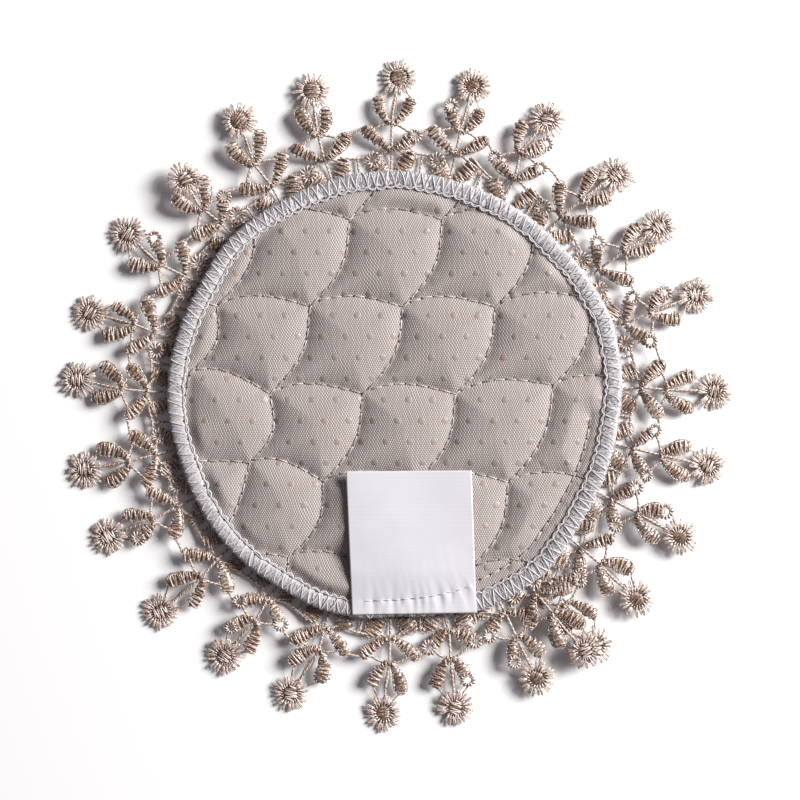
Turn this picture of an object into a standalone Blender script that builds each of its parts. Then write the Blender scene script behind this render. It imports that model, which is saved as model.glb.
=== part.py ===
"""A small round doily: a quilted pad with an overlocked edge and a guipure lace trim.

It lies face down, as it is turned over to show its care label. +Z is up, +Y points
away from the label, and the origin is at the middle of the pad, on the surface that
the doily lies on. All sizes are in metres. A clock angle is in degrees from +Y,
turning towards +X.
"""

from collections import namedtuple
from math import atan2, ceil, cos, degrees, exp, pi, radians, sin, sqrt

import bmesh
import bpy
import numpy as np
from mathutils import Vector
from mathutils.geometry import delaunay_2d_cdt

MM = 0.001
GAP = 0.3 * MM  # between two pieces that touch

# Heights above the surface, at the rim of the pad
THREAD = 0.5 * MM  # the overlock layer above and below the edge
EDGE_WALL = 1.0 * MM  # the overlock layer outside the cut edge
EDGE_REACH = 4.2 * MM  # how far the overlock reaches in over the pad
EDGE_ROUND = 0.8 * MM  # depth of the overlock's rounded outside
EDGE_BOTTOM = 1.7 * MM
RIM_LOW = EDGE_BOTTOM + THREAD + GAP
RIM_THICK = 1.1 * MM
RIM_HIGH = RIM_LOW + RIM_THICK
EDGE_TOP = RIM_HIGH + GAP + THREAD
EDGE_STEPS = 84  # facets round the rim
SPIN_RADIUS = 1.0  # the section is spun at this radius, so that its insets stay exact

# The pad
CROWN = 5.0 * MM  # top of a quilted shell
CHANNEL = 3.5 * MM  # top of the pad along a row of stitches
TUCK = 0.7 * MM  # how far a row of stitches lifts the face side
PUFF = 3.2 * MM  # distance over which the wadding rises from a row of stitches
RIM_FLAT = EDGE_REACH - EDGE_WALL  # width of the flat rim that the overlock holds
TURN = 7.0 * MM  # distance from the cut edge at which the pad has its full thickness
CLOTH_STEP = 4.1 * MM  # spacing of the pad's points
SEAM_STEP = 2.9 * MM  # spacing of the points along a row of stitches

# The lace
LACE = 1.1 * MM  # thickness of the lace
LACE_LOW = 0.3 * MM  # underside of the lace where it is sewn to the pad
LACE_IN = 55.6 * MM  # inner edge of the header that is sewn under the rim
HEADER = 2.6 * MM  # width of the header
HEADER_STEPS = 48
LACE_FREE = 62.0 * MM  # radius at which the lace leaves the rim and begins to rise
LACE_ARCH = 1.9 * MM  # how high the lace arches between there and the flowers
ARCH_SKEW = 0.8  # under 1, the arch is highest nearer the rim
ARCH_START = 5.0  # how soon it is clear of the rim
FLOWER = 4.9 * MM  # radius of a flower to the ends of its loops
CORE = 2.9 * MM  # radius of its satin middle
BAR = 0.9 * MM  # width of a bar of threads
RIDGE = 0.35 * MM  # height of the satin ridge of a leaf or flower
CLOSE = 0.42 * MM  # corners of the lace's outline that are nearer than this are one
STRAIGHT = 0.07 * MM  # a corner that lies this near the line past it is left out
SMALL_GAP = 1.5 * MM**2  # a gap in the lace that is smaller than this is closed

# The care label
LABEL = 1.0 * MM
LABEL_STEP = 4.5 * MM

# Radius of the doily's edge to the outside of the overlock, round the clock
RimPoint = namedtuple("RimPoint", "clock radius")
RIM = [
    RimPoint(0, 59.9 * MM),
    RimPoint(15, 59.3 * MM),
    RimPoint(45, 59.3 * MM),
    RimPoint(60, 60.1 * MM),
    RimPoint(70, 61.0 * MM),
    RimPoint(80, 60.6 * MM),
    RimPoint(100, 59.7 * MM),
    RimPoint(120, 59.7 * MM),
    RimPoint(130, 60.3 * MM),
    RimPoint(140, 61.7 * MM),
    RimPoint(158, 61.5 * MM),
    RimPoint(170, 59.4 * MM),
    RimPoint(180, 58.9 * MM),
    RimPoint(190, 60.1 * MM),
    RimPoint(200, 60.4 * MM),
    RimPoint(210, 59.9 * MM),
    RimPoint(230, 60.4 * MM),
    RimPoint(250, 60.1 * MM),
    RimPoint(270, 60.9 * MM),
    RimPoint(300, 60.1 * MM),
    RimPoint(312, 61.0 * MM),
    RimPoint(335, 60.1 * MM),
]

# One lace motif in a row. clock is where its lower leaves meet, elbow and lean are how
# far its upper leaves and its flower lie clockwise of that, in degrees. seat, fork and
# reach are the radii of the lower leaves' meeting, the upper leaves' and the flower's
# middle. lift is how far the flower stands above the run of the lace.
Motif = namedtuple("Motif", "clock elbow lean seat fork reach lift")
MOTIFS = [
    Motif(359.0, 0.1, 1.5, 65.9 * MM, 72.8 * MM, 85.1 * MM, -0.2 * MM),
    Motif(13.9, -0.2, 0.1, 66.5 * MM, 72.7 * MM, 85.1 * MM, 0.4 * MM),
    Motif(28.7, -1.6, 0.0, 66.1 * MM, 73.0 * MM, 84.1 * MM, 0.7 * MM),
    Motif(42.7, 0.8, 2.3, 65.2 * MM, 72.2 * MM, 83.3 * MM, 0.4 * MM),
    Motif(58.1, -0.4, -0.8, 64.2 * MM, 72.2 * MM, 83.6 * MM, -0.2 * MM),
    Motif(72.6, -0.6, -1.1, 64.5 * MM, 71.6 * MM, 84.6 * MM, -0.2 * MM),
    Motif(88.2, 0.6, 1.0, 65.6 * MM, 72.3 * MM, 85.2 * MM, -0.2 * MM),
    Motif(102.6, 0.1, 0.2, 65.0 * MM, 72.7 * MM, 85.4 * MM, 0.2 * MM),
    Motif(115.8, 0.1, 0.6, 64.2 * MM, 71.8 * MM, 84.5 * MM, 1.8 * MM),
    Motif(129.4, 0.2, 0.8, 64.4 * MM, 71.0 * MM, 84.0 * MM, 1.7 * MM),
    Motif(139.7, 1.0, 1.8, 64.8 * MM, 71.7 * MM, 85.2 * MM, 2.3 * MM),
    Motif(144.7, -0.5, -1.2, 64.8 * MM, 71.7 * MM, 84.5 * MM, 2.6 * MM),
    Motif(153.3, 0.2, 0.2, 64.9 * MM, 72.2 * MM, 84.2 * MM, 1.7 * MM),
    Motif(167.3, 1.0, 1.9, 64.5 * MM, 71.9 * MM, 84.9 * MM, 0.2 * MM),
    Motif(181.4, 0.0, 0.9, 64.9 * MM, 71.6 * MM, 85.0 * MM, -0.2 * MM),
    Motif(197.1, -0.3, 2.4, 65.1 * MM, 71.1 * MM, 84.5 * MM, -0.1 * MM),
    Motif(212.1, -0.1, 1.3, 64.6 * MM, 71.0 * MM, 83.3 * MM, 0.1 * MM),
    Motif(227.5, -0.6, 0.0, 64.9 * MM, 71.2 * MM, 85.6 * MM, -0.2 * MM),
    Motif(243.1, -0.1, 0.8, 65.5 * MM, 72.9 * MM, 85.9 * MM, -0.2 * MM),
    Motif(256.2, -0.1, 0.4, 66.1 * MM, 73.5 * MM, 85.7 * MM, -0.2 * MM),
    Motif(270.9, 0.4, 2.0, 66.4 * MM, 73.1 * MM, 85.4 * MM, -0.2 * MM),
    Motif(284.6, 0.6, 0.5, 66.7 * MM, 72.3 * MM, 84.9 * MM, -0.2 * MM),
    Motif(299.5, -0.5, 1.5, 64.9 * MM, 71.8 * MM, 83.8 * MM, -0.1 * MM),
    Motif(314.5, -0.5, 1.2, 65.7 * MM, 71.4 * MM, 80.4 * MM, 3.3 * MM),
    Motif(329.3, -0.9, 1.0, 65.1 * MM, 72.5 * MM, 84.5 * MM, 1.3 * MM),
    Motif(343.1, 0.2, 1.5, 65.8 * MM, 72.5 * MM, 84.5 * MM, 0.7 * MM),
]
SPLICE = 142.0  # clock angle of the place where the two ends of the lace overlap
SPLICE_HALF = 8.0  # half of the overlap, in degrees
SPLICE_RISE = 0.9 * MM  # how far the upper end stands on the lower one
SPLICE_RAMP = 4.0 * MM  # distance over which it comes up onto the lower one

# A pair of leaves that open from a point of a motif's stem: how far out from that point
# they start, how far out and to the side of it their tips lie, and their width
Pair = namedtuple("Pair", "start out side width")
UPPER = Pair(-0.6 * MM, 6.7 * MM, 4.5 * MM, 3.1 * MM)
LOWER = Pair(-0.3 * MM, 5.5 * MM, 6.9 * MM, 3.1 * MM)
UNDER = Pair(-8.2 * MM, -1.8 * MM, 6.1 * MM, 2.8 * MM)

# Half width of a leaf along its length, from its root to its tip
LeafStation = namedtuple("LeafStation", "along half")
LEAF = [LeafStation(0.0, 0.4), LeafStation(0.65, 1.0), LeafStation(1.0, 0.6)]
LEAF_RIDGE = (0.35, 0.72)

# Quilting: knots where the two sets of stitched waves cross, and how far each wave bows
KNOT = Vector((-8.8, 0.4)) * MM
ACROSS = Vector((24.7, -0.1)) * MM
DOWN = Vector((-10.6, -23.3)) * MM
BOW_ACROSS = 2.8 * MM
BOW_DOWN = 3.6 * MM
SKEW_ACROSS = 0.8
SKEW_DOWN = 1.16
KNOT_RANGE = range(-3, 4)
# Knots that lie away from their place in the even net
KnotShift = namedtuple("KnotShift", "across down right away")
KNOT_SHIFTS = [
    KnotShift(-2, 0, 3.4 * MM, 5.6 * MM),
    KnotShift(-1, 1, 5.2 * MM, 4.9 * MM),
    KnotShift(0, 2, 1.6 * MM, 3.2 * MM),
    KnotShift(2, -1, 1.0 * MM, 2.4 * MM),
    KnotShift(3, -1, 0.0 * MM, 2.4 * MM),
    KnotShift(2, 0, 1.5 * MM, 2.6 * MM),
    KnotShift(3, 0, 0.0 * MM, 2.4 * MM),
]

# Corners of the care label, seen from above
LABEL_TOP_LEFT = Vector((-13.3, -20.1)) * MM
LABEL_TOP_RIGHT = Vector((20.1, -19.9)) * MM
LABEL_LOW_LEFT = Vector((-11.7, -58.3)) * MM
LABEL_LOW_RIGHT = Vector((21.4, -57.7)) * MM


def round_the_clock(rows, clock, column):
    """The value of a column at a clock angle, eased from each row of a table to the next."""
    clock %= 360
    ordered = sorted(rows, key=lambda row: row.clock)
    before = [row for row in ordered if row.clock <= clock]
    low = before[-1] if before else ordered[-1]
    high = ordered[len(before)] if len(before) < len(ordered) else ordered[0]
    span = (high.clock - low.clock) % 360 or 360
    share = ((clock - low.clock) % 360) / span
    share = share * share * (3 - 2 * share)
    return getattr(low, column) * (1 - share) + getattr(high, column) * share


def rim_radius(clock):
    """The radius to the outside of the overlocked edge."""
    return round_the_clock(RIM, clock, "radius")


def spot(clock, radius):
    """The point at a clock angle and a radius."""
    turn = radians(clock)
    return Vector((radius * sin(turn), radius * cos(turn)))


def clock_of(point):
    return degrees(atan2(point[0], point[1])) % 360


def rise(share):
    """From 0 to 1, with no slope at either end."""
    share = min(max(share, 0), 1)
    return share * share * (3 - 2 * share)


def new_material(name, color, roughness):
    material = bpy.data.materials.new(name)
    material.use_nodes = True
    shader = material.node_tree.nodes["Principled BSDF"]
    shader.inputs["Base Color"].default_value = (*color, 1)
    shader.inputs["Roughness"].default_value = roughness
    shader.inputs["Metallic"].default_value = 0
    return material


def union(outlines):
    """The outlines of everything that lies inside any of some outlines, as loops that run
    round the outside and round each gap, without corners that the form doesn't need."""
    outlines = [anticlockwise(outline) for outline in outlines]
    corners = [corner for outline in outlines for corner in outline]
    faces = []
    for outline in outlines:
        start = len(faces[-1]) + faces[-1][0] if faces else 0
        faces.append(list(range(start, start + len(outline))))
    found, _, triangles, _, _, origins = delaunay_2d_cdt(
        [Vector(p) / MM for p in corners], [], faces, 0, 1e-4
    )
    kept = [triangle for triangle, inside in zip(triangles, origins) if inside]
    steps = {(a, b) for t in kept for a, b in zip(t, t[1:] + t[:1])}
    following = {a: b for a, b in sorted(steps) if (b, a) not in steps}
    loops = []
    while following:
        start, corner = following.popitem()
        loop = [start]
        while corner != start:
            loop.append(corner)
            corner = following.pop(corner)
        loops.append(eased([found[i] * MM for i in loop]))
    return [loop for loop in loops if len(loop) > 2 and abs(area(loop)) > SMALL_GAP]


def area(outline):
    """The area inside an outline, below zero if it runs clockwise."""
    return sum(a.cross(b) for a, b in zip(outline, outline[1:] + outline[:1])) / 2


def anticlockwise(outline):
    return outline if area(outline) > 0 else outline[::-1]


def eased(loop):
    """A loop without its corners that lie close to the one before, or on a straight run."""
    kept = []
    for corner in loop:
        if not kept or (corner - kept[-1]).length > CLOSE:
            kept.append(corner)
    turning = []
    for before, corner, after in zip(kept[-1:] + kept[:-1], kept, kept[1:] + kept[:1]):
        run = after - before
        off = abs(run.cross(corner - before)) / max(run.length, CLOSE)
        if off > STRAIGHT:
            turning.append(corner)
    return turning


def inside(places, loops):
    """Whether each place lies inside the loops: the edges east of it are odd in number."""
    starts = np.array([corner for loop in loops for corner in loop])
    ends = np.array([corner for loop in loops for corner in loop[1:] + loop[:1]])
    east, north = places[:, :1], places[:, 1:]
    spans = (starts[:, 1] > north) != (ends[:, 1] > north)
    fall = np.where(spans, ends[:, 1] - starts[:, 1], 1)
    meets = starts[:, 0] + (north - starts[:, 1]) / fall * (ends[:, 0] - starts[:, 0])
    return (spans & (meets > east)).sum(axis=1) % 2 == 1


def planform(loops, lines=(), points=()):
    """Triangles over what lies inside the loops, with an edge along each line and a corner
    at each point. Returns the corners, the triangles and the places of the points among
    the corners."""
    corners = []
    edges = []
    for line in [loop + loop[:1] for loop in loops] + list(lines):
        edges += [(len(corners) + i, len(corners) + i + 1) for i in range(len(line) - 1)]
        corners += line
    first_point = len(corners)
    corners += points
    found, _, triangles, sources, _, _ = delaunay_2d_cdt(
        [Vector(p) / MM for p in corners], edges, [], 0, 1e-4
    )
    found = [place * MM for place in found]
    middles = np.array([sum((found[i] for i in t), Vector((0, 0))) / len(t) for t in triangles])
    kept = [t for t, within in zip(triangles, inside(middles, loops)) if within]
    used = sorted({corner for triangle in kept for corner in triangle})
    place = {corner: i for i, corner in enumerate(used)}
    kept = [[place[corner] for corner in triangle] for triangle in kept]
    marks = {place[i] for i in used if any(source >= first_point for source in sources[i])}
    return [found[i] for i in used], kept, marks


def thick_sheet(name, plan, low, high, material, collection):
    """A closed body over a planform, between two heights that follow the place. low and
    high take a corner of the planform and whether it is one of its points."""
    corners, triangles, marks = plan
    mesh = bpy.data.meshes.new(name)
    shape = bmesh.new()
    under = [shape.verts.new((p[0], p[1], low(p, i in marks))) for i, p in enumerate(corners)]
    rises = {v: high(p, i in marks) - v.co.z for i, (v, p) in enumerate(zip(under, corners))}
    for triangle in triangles:
        shape.faces.new([under[corner] for corner in triangle])
    shape.normal_update()
    grown = bmesh.ops.extrude_face_region(shape, geom=shape.faces[:], use_keep_orig=True)
    places = {(v.co.x, v.co.y): v for v in grown["geom"] if isinstance(v, bmesh.types.BMVert)}
    for vert, height in rises.items():
        places[(vert.co.x, vert.co.y)].co.z += height
    bmesh.ops.recalc_face_normals(shape, faces=shape.faces[:])
    shape.to_mesh(mesh)
    shape.free()
    return place_object(name, mesh, material, collection)


def place_object(name, mesh, material, collection, crease=50):
    piece = bpy.data.objects.new(name, mesh)
    mesh.materials.append(material)
    mesh.shade_smooth()
    mesh.set_sharp_from_angle(angle=radians(crease))
    collection.objects.link(piece)
    return piece


# Quilted pad


def knot(across, down):
    """The crossing of two stitched waves."""
    place = KNOT + across * ACROSS + down * DOWN
    for row in KNOT_SHIFTS:
        if (row.across, row.down) == (across, down):
            place += Vector((row.right, row.away))
    return place


def wave(start, end, bow, skew, side):
    """A stitched wave between two knots, bowed towards a side."""
    steps = ceil((end - start).length / SEAM_STEP)
    shares = [i / steps for i in range(steps + 1)]
    return [start.lerp(end, s) + side * bow * sin(pi * s**skew) for s in shares]


def quilting():
    """Every stitched wave of the net."""
    waves = []
    for across in KNOT_RANGE:
        for down in KNOT_RANGE:
            start = knot(across, down)
            away = Vector((0, 1))
            right = Vector((1, 0))
            waves.append(wave(start, knot(across + 1, down), BOW_ACROSS, SKEW_ACROSS, away))
            waves.append(wave(start, knot(across, down + 1), BOW_DOWN, SKEW_DOWN, right))
    return waves


def clipped(waves, inset):
    """The stretches of the waves that lie at least inset inside the cut edge."""
    kept = []
    for line in waves:
        run = []
        for point in line:
            if point.length < cloth_radius(clock_of(point)) - inset:
                run.append(point)
            else:
                kept.append(run)
                run = []
        kept.append(run)
    return [run for run in kept if len(run) > 1]


def distance_to(lines, point):
    """How far a point lies from the nearest of some broken lines."""
    nearest = 1.0
    for line in lines:
        for start, end in zip(line, line[1:]):
            along = end - start
            share = (point - start).dot(along) / along.length_squared
            share = min(max(share, 0), 1)
            nearest = min(nearest, (point - start - along * share).length)
    return nearest


def cloth_radius(clock):
    """The radius of the pad's cut edge, inside the overlock."""
    return rim_radius(clock) - EDGE_WALL - GAP


def pad_plan(waves):
    """The pad's round with an edge along each stitched wave and an even field between."""
    rounds = []
    for inset in (0, RIM_FLAT, (RIM_FLAT + TURN) / 2, TURN):
        clocks = [360 * i / EDGE_STEPS for i in range(EDGE_STEPS)]
        rounds.append([spot(clock, cloth_radius(clock) - inset) for clock in clocks])
    seams = clipped(waves, TURN + SEAM_STEP / 2)
    field = []
    row_step = CLOTH_STEP * sqrt(3) / 2
    rows = ceil(rim_radius(0) / row_step)
    for row in range(-rows, rows + 1):
        for column in range(-rows, rows + 1):
            point = Vector(((column + row % 2 / 2) * CLOTH_STEP, row * row_step))
            clear_of_edge = point.length < cloth_radius(clock_of(point)) - TURN - CLOTH_STEP / 2
            if clear_of_edge and distance_to(seams, point) > CLOTH_STEP / 2:
                field.append(point)
    closed = [line + line[:1] for line in rounds[1:]]
    return planform(rounds[:1], seams + closed, field)


def build_pad(collection):
    waves = quilting()
    seams = clipped(waves, 2 * MM)

    def fullness(point):
        """0 on a row of stitches and 1 where the wadding is free."""
        near = distance_to(seams, point)
        return 1 - exp(-((near / PUFF) ** 1.3))

    def edge_share(point):
        """0 at the flat rim and 1 where the pad has its full thickness."""
        inset = cloth_radius(clock_of(point)) - point.length
        return rise((inset - RIM_FLAT) / (TURN - RIM_FLAT))

    def top(point, _):
        crowned = CHANNEL + (CROWN - CHANNEL) * fullness(point)
        return RIM_HIGH + (crowned - RIM_HIGH) * edge_share(point)

    def bottom(point, _):
        tucked = TUCK * max(0, 1 - 1.8 * fullness(point))
        return RIM_LOW + (tucked - RIM_LOW) * edge_share(point)

    material = new_material("anti_slip_cloth", (0.56, 0.49, 0.42), 0.9)
    return thick_sheet("quilted_pad", pad_plan(waves), bottom, top, material, collection)


# Overlocked edge


def build_edge(collection):
    """The layer of overlock threads: a C-shaped section, spun and set to the rim."""
    middle = (EDGE_TOP + EDGE_BOTTOM) / 2
    half = (EDGE_TOP - EDGE_BOTTOM) / 2
    outside = []
    for turn in (90, 45, 0, -45, -90):
        out = -EDGE_ROUND * (1 - cos(radians(turn)))
        outside.append((out, middle + half * sin(radians(turn))))
    section = [
        (-EDGE_REACH, EDGE_TOP),
        *outside,
        (-EDGE_REACH, EDGE_BOTTOM),
        (-EDGE_REACH, EDGE_BOTTOM + THREAD),
        (-EDGE_WALL, EDGE_BOTTOM + THREAD),
        (-EDGE_WALL, EDGE_TOP - THREAD),
        (-EDGE_REACH, EDGE_TOP - THREAD),
    ]
    shape = bmesh.new()
    verts = [shape.verts.new((0, inset, height)) for inset, height in section]
    profile = [shape.edges.new((a, b)) for a, b in zip(verts, verts[1:] + verts[:1])]
    bmesh.ops.spin(
        shape,
        geom=verts + profile,
        cent=(0, -SPIN_RADIUS, 0),
        axis=(0, 0, 1),
        angle=2 * pi,
        steps=EDGE_STEPS,
        use_merge=True,
    )
    for vert in shape.verts:
        arm = Vector((vert.co.x, vert.co.y + SPIN_RADIUS))
        clock = clock_of(arm)
        inset = arm.length - SPIN_RADIUS
        vert.co.x, vert.co.y = spot(clock, rim_radius(clock) + inset)
    bmesh.ops.recalc_face_normals(shape, faces=shape.faces[:])
    mesh = bpy.data.meshes.new("edge_overlock")
    shape.to_mesh(mesh)
    shape.free()
    material = new_material("overlock_thread", (0.74, 0.73, 0.75), 0.6)
    return place_object("edge_overlock", mesh, material, collection)


# Lace trim


def bar(start, end, width=BAR):
    """A straight bar of threads."""
    side = (end - start).normalized().orthogonal() * width / 2
    return [start - side, end - side, end + side, start + side]


def leaf(root, tip, width):
    """The outline of a leaf, and the points of its ridge."""
    along = tip - root
    side = along.normalized().orthogonal() * width / 2
    right = [root + along * row.along + side * row.half for row in LEAF]
    left = [root + along * row.along - side * row.half for row in LEAF]
    return right + left[::-1], [root + along * share for share in LEAF_RIDGE]


def disc(centre, radius, count, turn=0.0):
    angles = [2 * pi * (i + turn) / count for i in range(count)]
    return [centre + Vector((radius * cos(a), radius * sin(a))) for a in angles]


class MotifPlan:
    """The outlines of one motif: a flower on a stem and three pairs of leaves."""

    def __init__(self, row):
        self.row = row
        self.outlines = []
        self.ridge = []
        self.flower = spot(row.clock + row.lean, row.reach)
        self.fork = spot(row.clock + row.elbow, row.fork)
        self.seat = spot(row.clock, row.seat)
        self.root = spot(row.clock, LACE_IN + HEADER / 2)
        self.upper_tips = self.add_pair(self.fork, self.flower, UPPER)
        self.lower_tips = self.add_pair(self.seat, self.fork, LOWER)
        self.under_tips = self.add_pair(self.seat, self.fork, UNDER)
        self.add_flower()
        self.add_bars()

    def add_pair(self, centre, ahead, pair):
        """Two leaves that open from a point of the stem. Returns their tips."""
        out = (ahead - centre).normalized()
        right = Vector((out.y, -out.x))
        tips = []
        for hand in (-1, 1):
            base = centre + out * pair.start
            tip = centre + out * pair.out + right * hand * pair.side
            outline, ridge = leaf(base, tip, pair.width)
            self.outlines.append(outline)
            self.ridge += ridge
            tips.append(tip)
        return tips

    def add_flower(self):
        self.outlines.append(disc(self.flower, FLOWER, 12))
        self.ridge += disc(self.flower, CORE, 6)
        self.ridge.append(self.flower)

    def add_bars(self):
        stem = (self.flower - self.fork).normalized()
        neck = self.flower - stem * (FLOWER - BAR)
        self.outlines.append(bar(self.fork, neck, 1.2 * BAR))
        self.outlines.append(bar(self.seat, self.fork, BAR))
        self.outlines.append(bar(self.root, self.seat, BAR))
        for tip, lower, under in zip(self.upper_tips, self.lower_tips, self.under_tips):
            toward = (self.flower - tip).normalized()
            self.outlines.append(bar(tip - toward * BAR, tip + toward * 3.2 * MM, BAR))
            self.outlines.append(bar(self.fork, lower, BAR))
            self.outlines.append(bar(self.seat, under, BAR))


def lace_plan():
    """The planform of the whole trim: the header, the motifs and the ties between them."""
    plans = [MotifPlan(row) for row in MOTIFS]
    outlines = []
    ridge = []
    for plan, following in zip(plans, plans[1:] + plans[:1]):
        outlines += plan.outlines
        ridge += plan.ridge
        outlines.append(bar(plan.lower_tips[1], following.lower_tips[0]))
        outlines.append(bar(plan.under_tips[1], following.under_tips[0]))
    clocks = [360 * i / HEADER_STEPS for i in range(HEADER_STEPS)]
    for near, far in zip(clocks, clocks[1:] + [360]):
        outer = LACE_IN + HEADER
        outlines.append([spot(near, LACE_IN), spot(near, outer), spot(far, outer), spot(far, LACE_IN)])
    ridge = [point for point in ridge if point.length > rim_radius(clock_of(point)) + BAR]
    plan = planform(union(outlines), points=ridge)
    while pinches(plan):
        outlines += [disc(place, BAR / 2, 6) for place in pinches(plan)]
        plan = planform(union(outlines), points=ridge)
    return plan


def pinches(plan):
    """The corners where two gaps of a planform meet, with no thread between them."""
    corners, triangles, _ = plan
    steps = {(a, b) for t in triangles for a, b in zip(t, t[1:] + t[:1])}
    leaving = [a for a, b in steps if (b, a) not in steps]
    return [corners[i] for i in sorted(set(leaving)) if leaving.count(i) > 1]


def lace_level(point):
    """The height of the lace's underside: it arches from the rim down to the flowers, some
    of which are lifted."""
    share = (point.length - LACE_FREE) / (MOTIFS[0].reach - LACE_FREE)
    share = min(max(share, 0), 1)
    lift = round_the_clock(MOTIFS, clock_of(point), "lift")
    arch = LACE_ARCH * sin(pi * share**ARCH_SKEW) * rise(ARCH_START * share)
    return LACE_LOW + arch + lift * share**2


def splice_share(point):
    """1 where the two ends of the lace lie on each other, and 0 past the overlap."""
    off = abs((clock_of(point) - SPLICE + 180) % 360 - 180)
    clear_of_rim = rise((point.length - LACE_FREE) / SPLICE_RAMP - 0.5)
    return rise(2 * (1 - off / SPLICE_HALF)) * clear_of_rim


def build_lace(collection):
    def bottom(point, _):
        return lace_level(point)

    def top(point, on_ridge):
        return lace_level(point) + LACE + on_ridge * RIDGE + SPLICE_RISE * splice_share(point)

    material = new_material("lace_thread", (0.55, 0.42, 0.30), 0.65)
    return thick_sheet("lace_trim", lace_plan(), bottom, top, material, collection)


# Care label


def build_label(collection):
    """A flat cloth label that lies on the pad, its lower end over the overlocked edge."""
    across = ceil((LABEL_TOP_RIGHT - LABEL_TOP_LEFT).length / LABEL_STEP)
    along = ceil((LABEL_LOW_LEFT - LABEL_TOP_LEFT).length / LABEL_STEP)
    outline = [LABEL_TOP_LEFT, LABEL_LOW_LEFT, LABEL_LOW_RIGHT, LABEL_TOP_RIGHT]
    inner = []
    for row in range(1, along):
        left = LABEL_TOP_LEFT.lerp(LABEL_LOW_LEFT, row / along)
        right = LABEL_TOP_RIGHT.lerp(LABEL_LOW_RIGHT, row / along)
        inner += [left.lerp(right, column / across) for column in range(across + 1)]

    def bottom(point, _):
        inset = rim_radius(clock_of(point)) - point.length
        over_pad = rise((inset - EDGE_REACH) / EDGE_REACH)
        return EDGE_TOP + GAP + (CROWN - EDGE_TOP) * over_pad

    def top(point, on_inner):
        return bottom(point, on_inner) + LABEL

    material = new_material("label_satin", (0.80, 0.79, 0.84), 0.45)
    plan = planform([outline], points=inner)
    return thick_sheet("care_label", plan, bottom, top, material, collection)


def clear_scene():
    for item in list(bpy.data.objects):
        bpy.data.objects.remove(item, do_unlink=True)


def main():
    clear_scene()
    collection = bpy.data.collections.new("lace_doily")
    bpy.context.scene.collection.children.link(collection)
    build_pad(collection)
    build_edge(collection)
    build_lace(collection)
    build_label(collection)


main()
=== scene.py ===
"""The looks of a small quilted doily with an overlocked edge and a guipure lace trim.

It lies face down. All sizes are in metres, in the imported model's frame: +Z up, +Y away
from the care label, the origin at the middle of the pad on the surface that it lies on.
A clock angle is in degrees from +Y, turning towards +X.
"""

from collections import namedtuple
from math import ceil, cos, pi, radians, sin

import bpy
import numpy as np
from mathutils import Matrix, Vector


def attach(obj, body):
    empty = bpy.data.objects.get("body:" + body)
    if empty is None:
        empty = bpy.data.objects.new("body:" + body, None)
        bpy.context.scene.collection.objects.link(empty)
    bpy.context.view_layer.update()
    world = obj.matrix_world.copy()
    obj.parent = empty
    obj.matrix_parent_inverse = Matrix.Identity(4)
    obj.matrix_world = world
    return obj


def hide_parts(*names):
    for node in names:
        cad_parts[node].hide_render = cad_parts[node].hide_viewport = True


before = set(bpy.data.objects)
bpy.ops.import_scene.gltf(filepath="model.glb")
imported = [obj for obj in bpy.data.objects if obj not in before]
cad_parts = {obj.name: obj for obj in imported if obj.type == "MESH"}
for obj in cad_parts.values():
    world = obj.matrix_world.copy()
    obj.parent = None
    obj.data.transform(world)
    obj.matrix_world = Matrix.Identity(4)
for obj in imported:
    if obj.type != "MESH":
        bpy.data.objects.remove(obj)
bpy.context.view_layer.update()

MM = 0.001
TINY = 1e-12  # keeps a step of no length from being divided by nothing
BEND_POINTS = 12  # on most bent threads
BODY = "root"

# Heights at the rim of the pad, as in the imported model
EDGE_TOP = 4.4 * MM
EDGE_REACH = 4.2 * MM
EDGE_WALL = 1.0 * MM
GAP = 0.3 * MM
RIM_LOW = 2.5 * MM
RIM_HIGH = 3.6 * MM

# Quilted pad
CROWN = 6.15 * MM  # top of a quilted shell
CHANNEL = 3.15 * MM  # top of the cloth along a row of stitches
TUCK = 0.7 * MM  # how far a row of stitches lifts the face side
PUFF = 5.7 * MM  # distance over which the wadding rises from a row of stitches
RIM_FLAT = 2.7 * MM  # width of the flat rim, from the cut edge
TURN = 6.6 * MM  # distance from the cut edge at which the pad has its full thickness
PAD_RINGS = 84
SEAM_STEP = 0.7 * MM
STITCH = 3.1 * MM
STITCH_THREAD = 0.15 * MM
STITCH_POINTS = 7
STITCH_GAP = 0.15 * MM  # from the end of a stitch to the middle of its needle hole
STITCH_DIP = 0.12 * MM  # how far the thread draws the cloth in at each needle hole
STITCH_DIP_REACH = 0.9 * MM
SEAM_WAVE = 0.04 * MM  # a slower rise and fall along a row of stitches
SEAM_WAVE_REACH = 2.6 * MM
RIPPLE = 0.022 * MM  # height of each ripple of the cloth over the wadding
RIPPLES = 7
HOLE = 0.33 * MM  # radius of a needle hole
HOLE_MOUTH = 0.24 * MM  # how high its mouth stands in the dent between two stitches
HOLE_FOOT = 0.5 * MM  # how deep it goes below the dent
EDGE_HOLE = 0.4 * MM  # depth of a needle hole in the overlock
DOT = 0.88 * MM  # radius of a rubber dot
DOT_HIGH = 0.08 * MM
DOT_SIDES = 10
DOT_LEVELS = ((1.0, -0.05), (0.82, 0.62), (0.45, 0.94))  # shares of its radius and height
DOT_AT = Vector((-17.47, 43.7)) * MM
DOT_ACROSS = Vector((6.4, 0.0)) * MM
DOT_DOWN = Vector((-3.0, -5.6)) * MM
DOT_COLUMNS = range(-14, 20)
DOT_ROWS = range(-3, 20)
ROSY_DOTS = 0.12  # share of the dots that are rosy
WARP = 0.322 * MM  # spacing of the upright yarns
WEFT = 0.594 * MM  # spacing of the yarns across
RIB = 0.35 * MM  # spacing of the satin label's ribs

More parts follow.
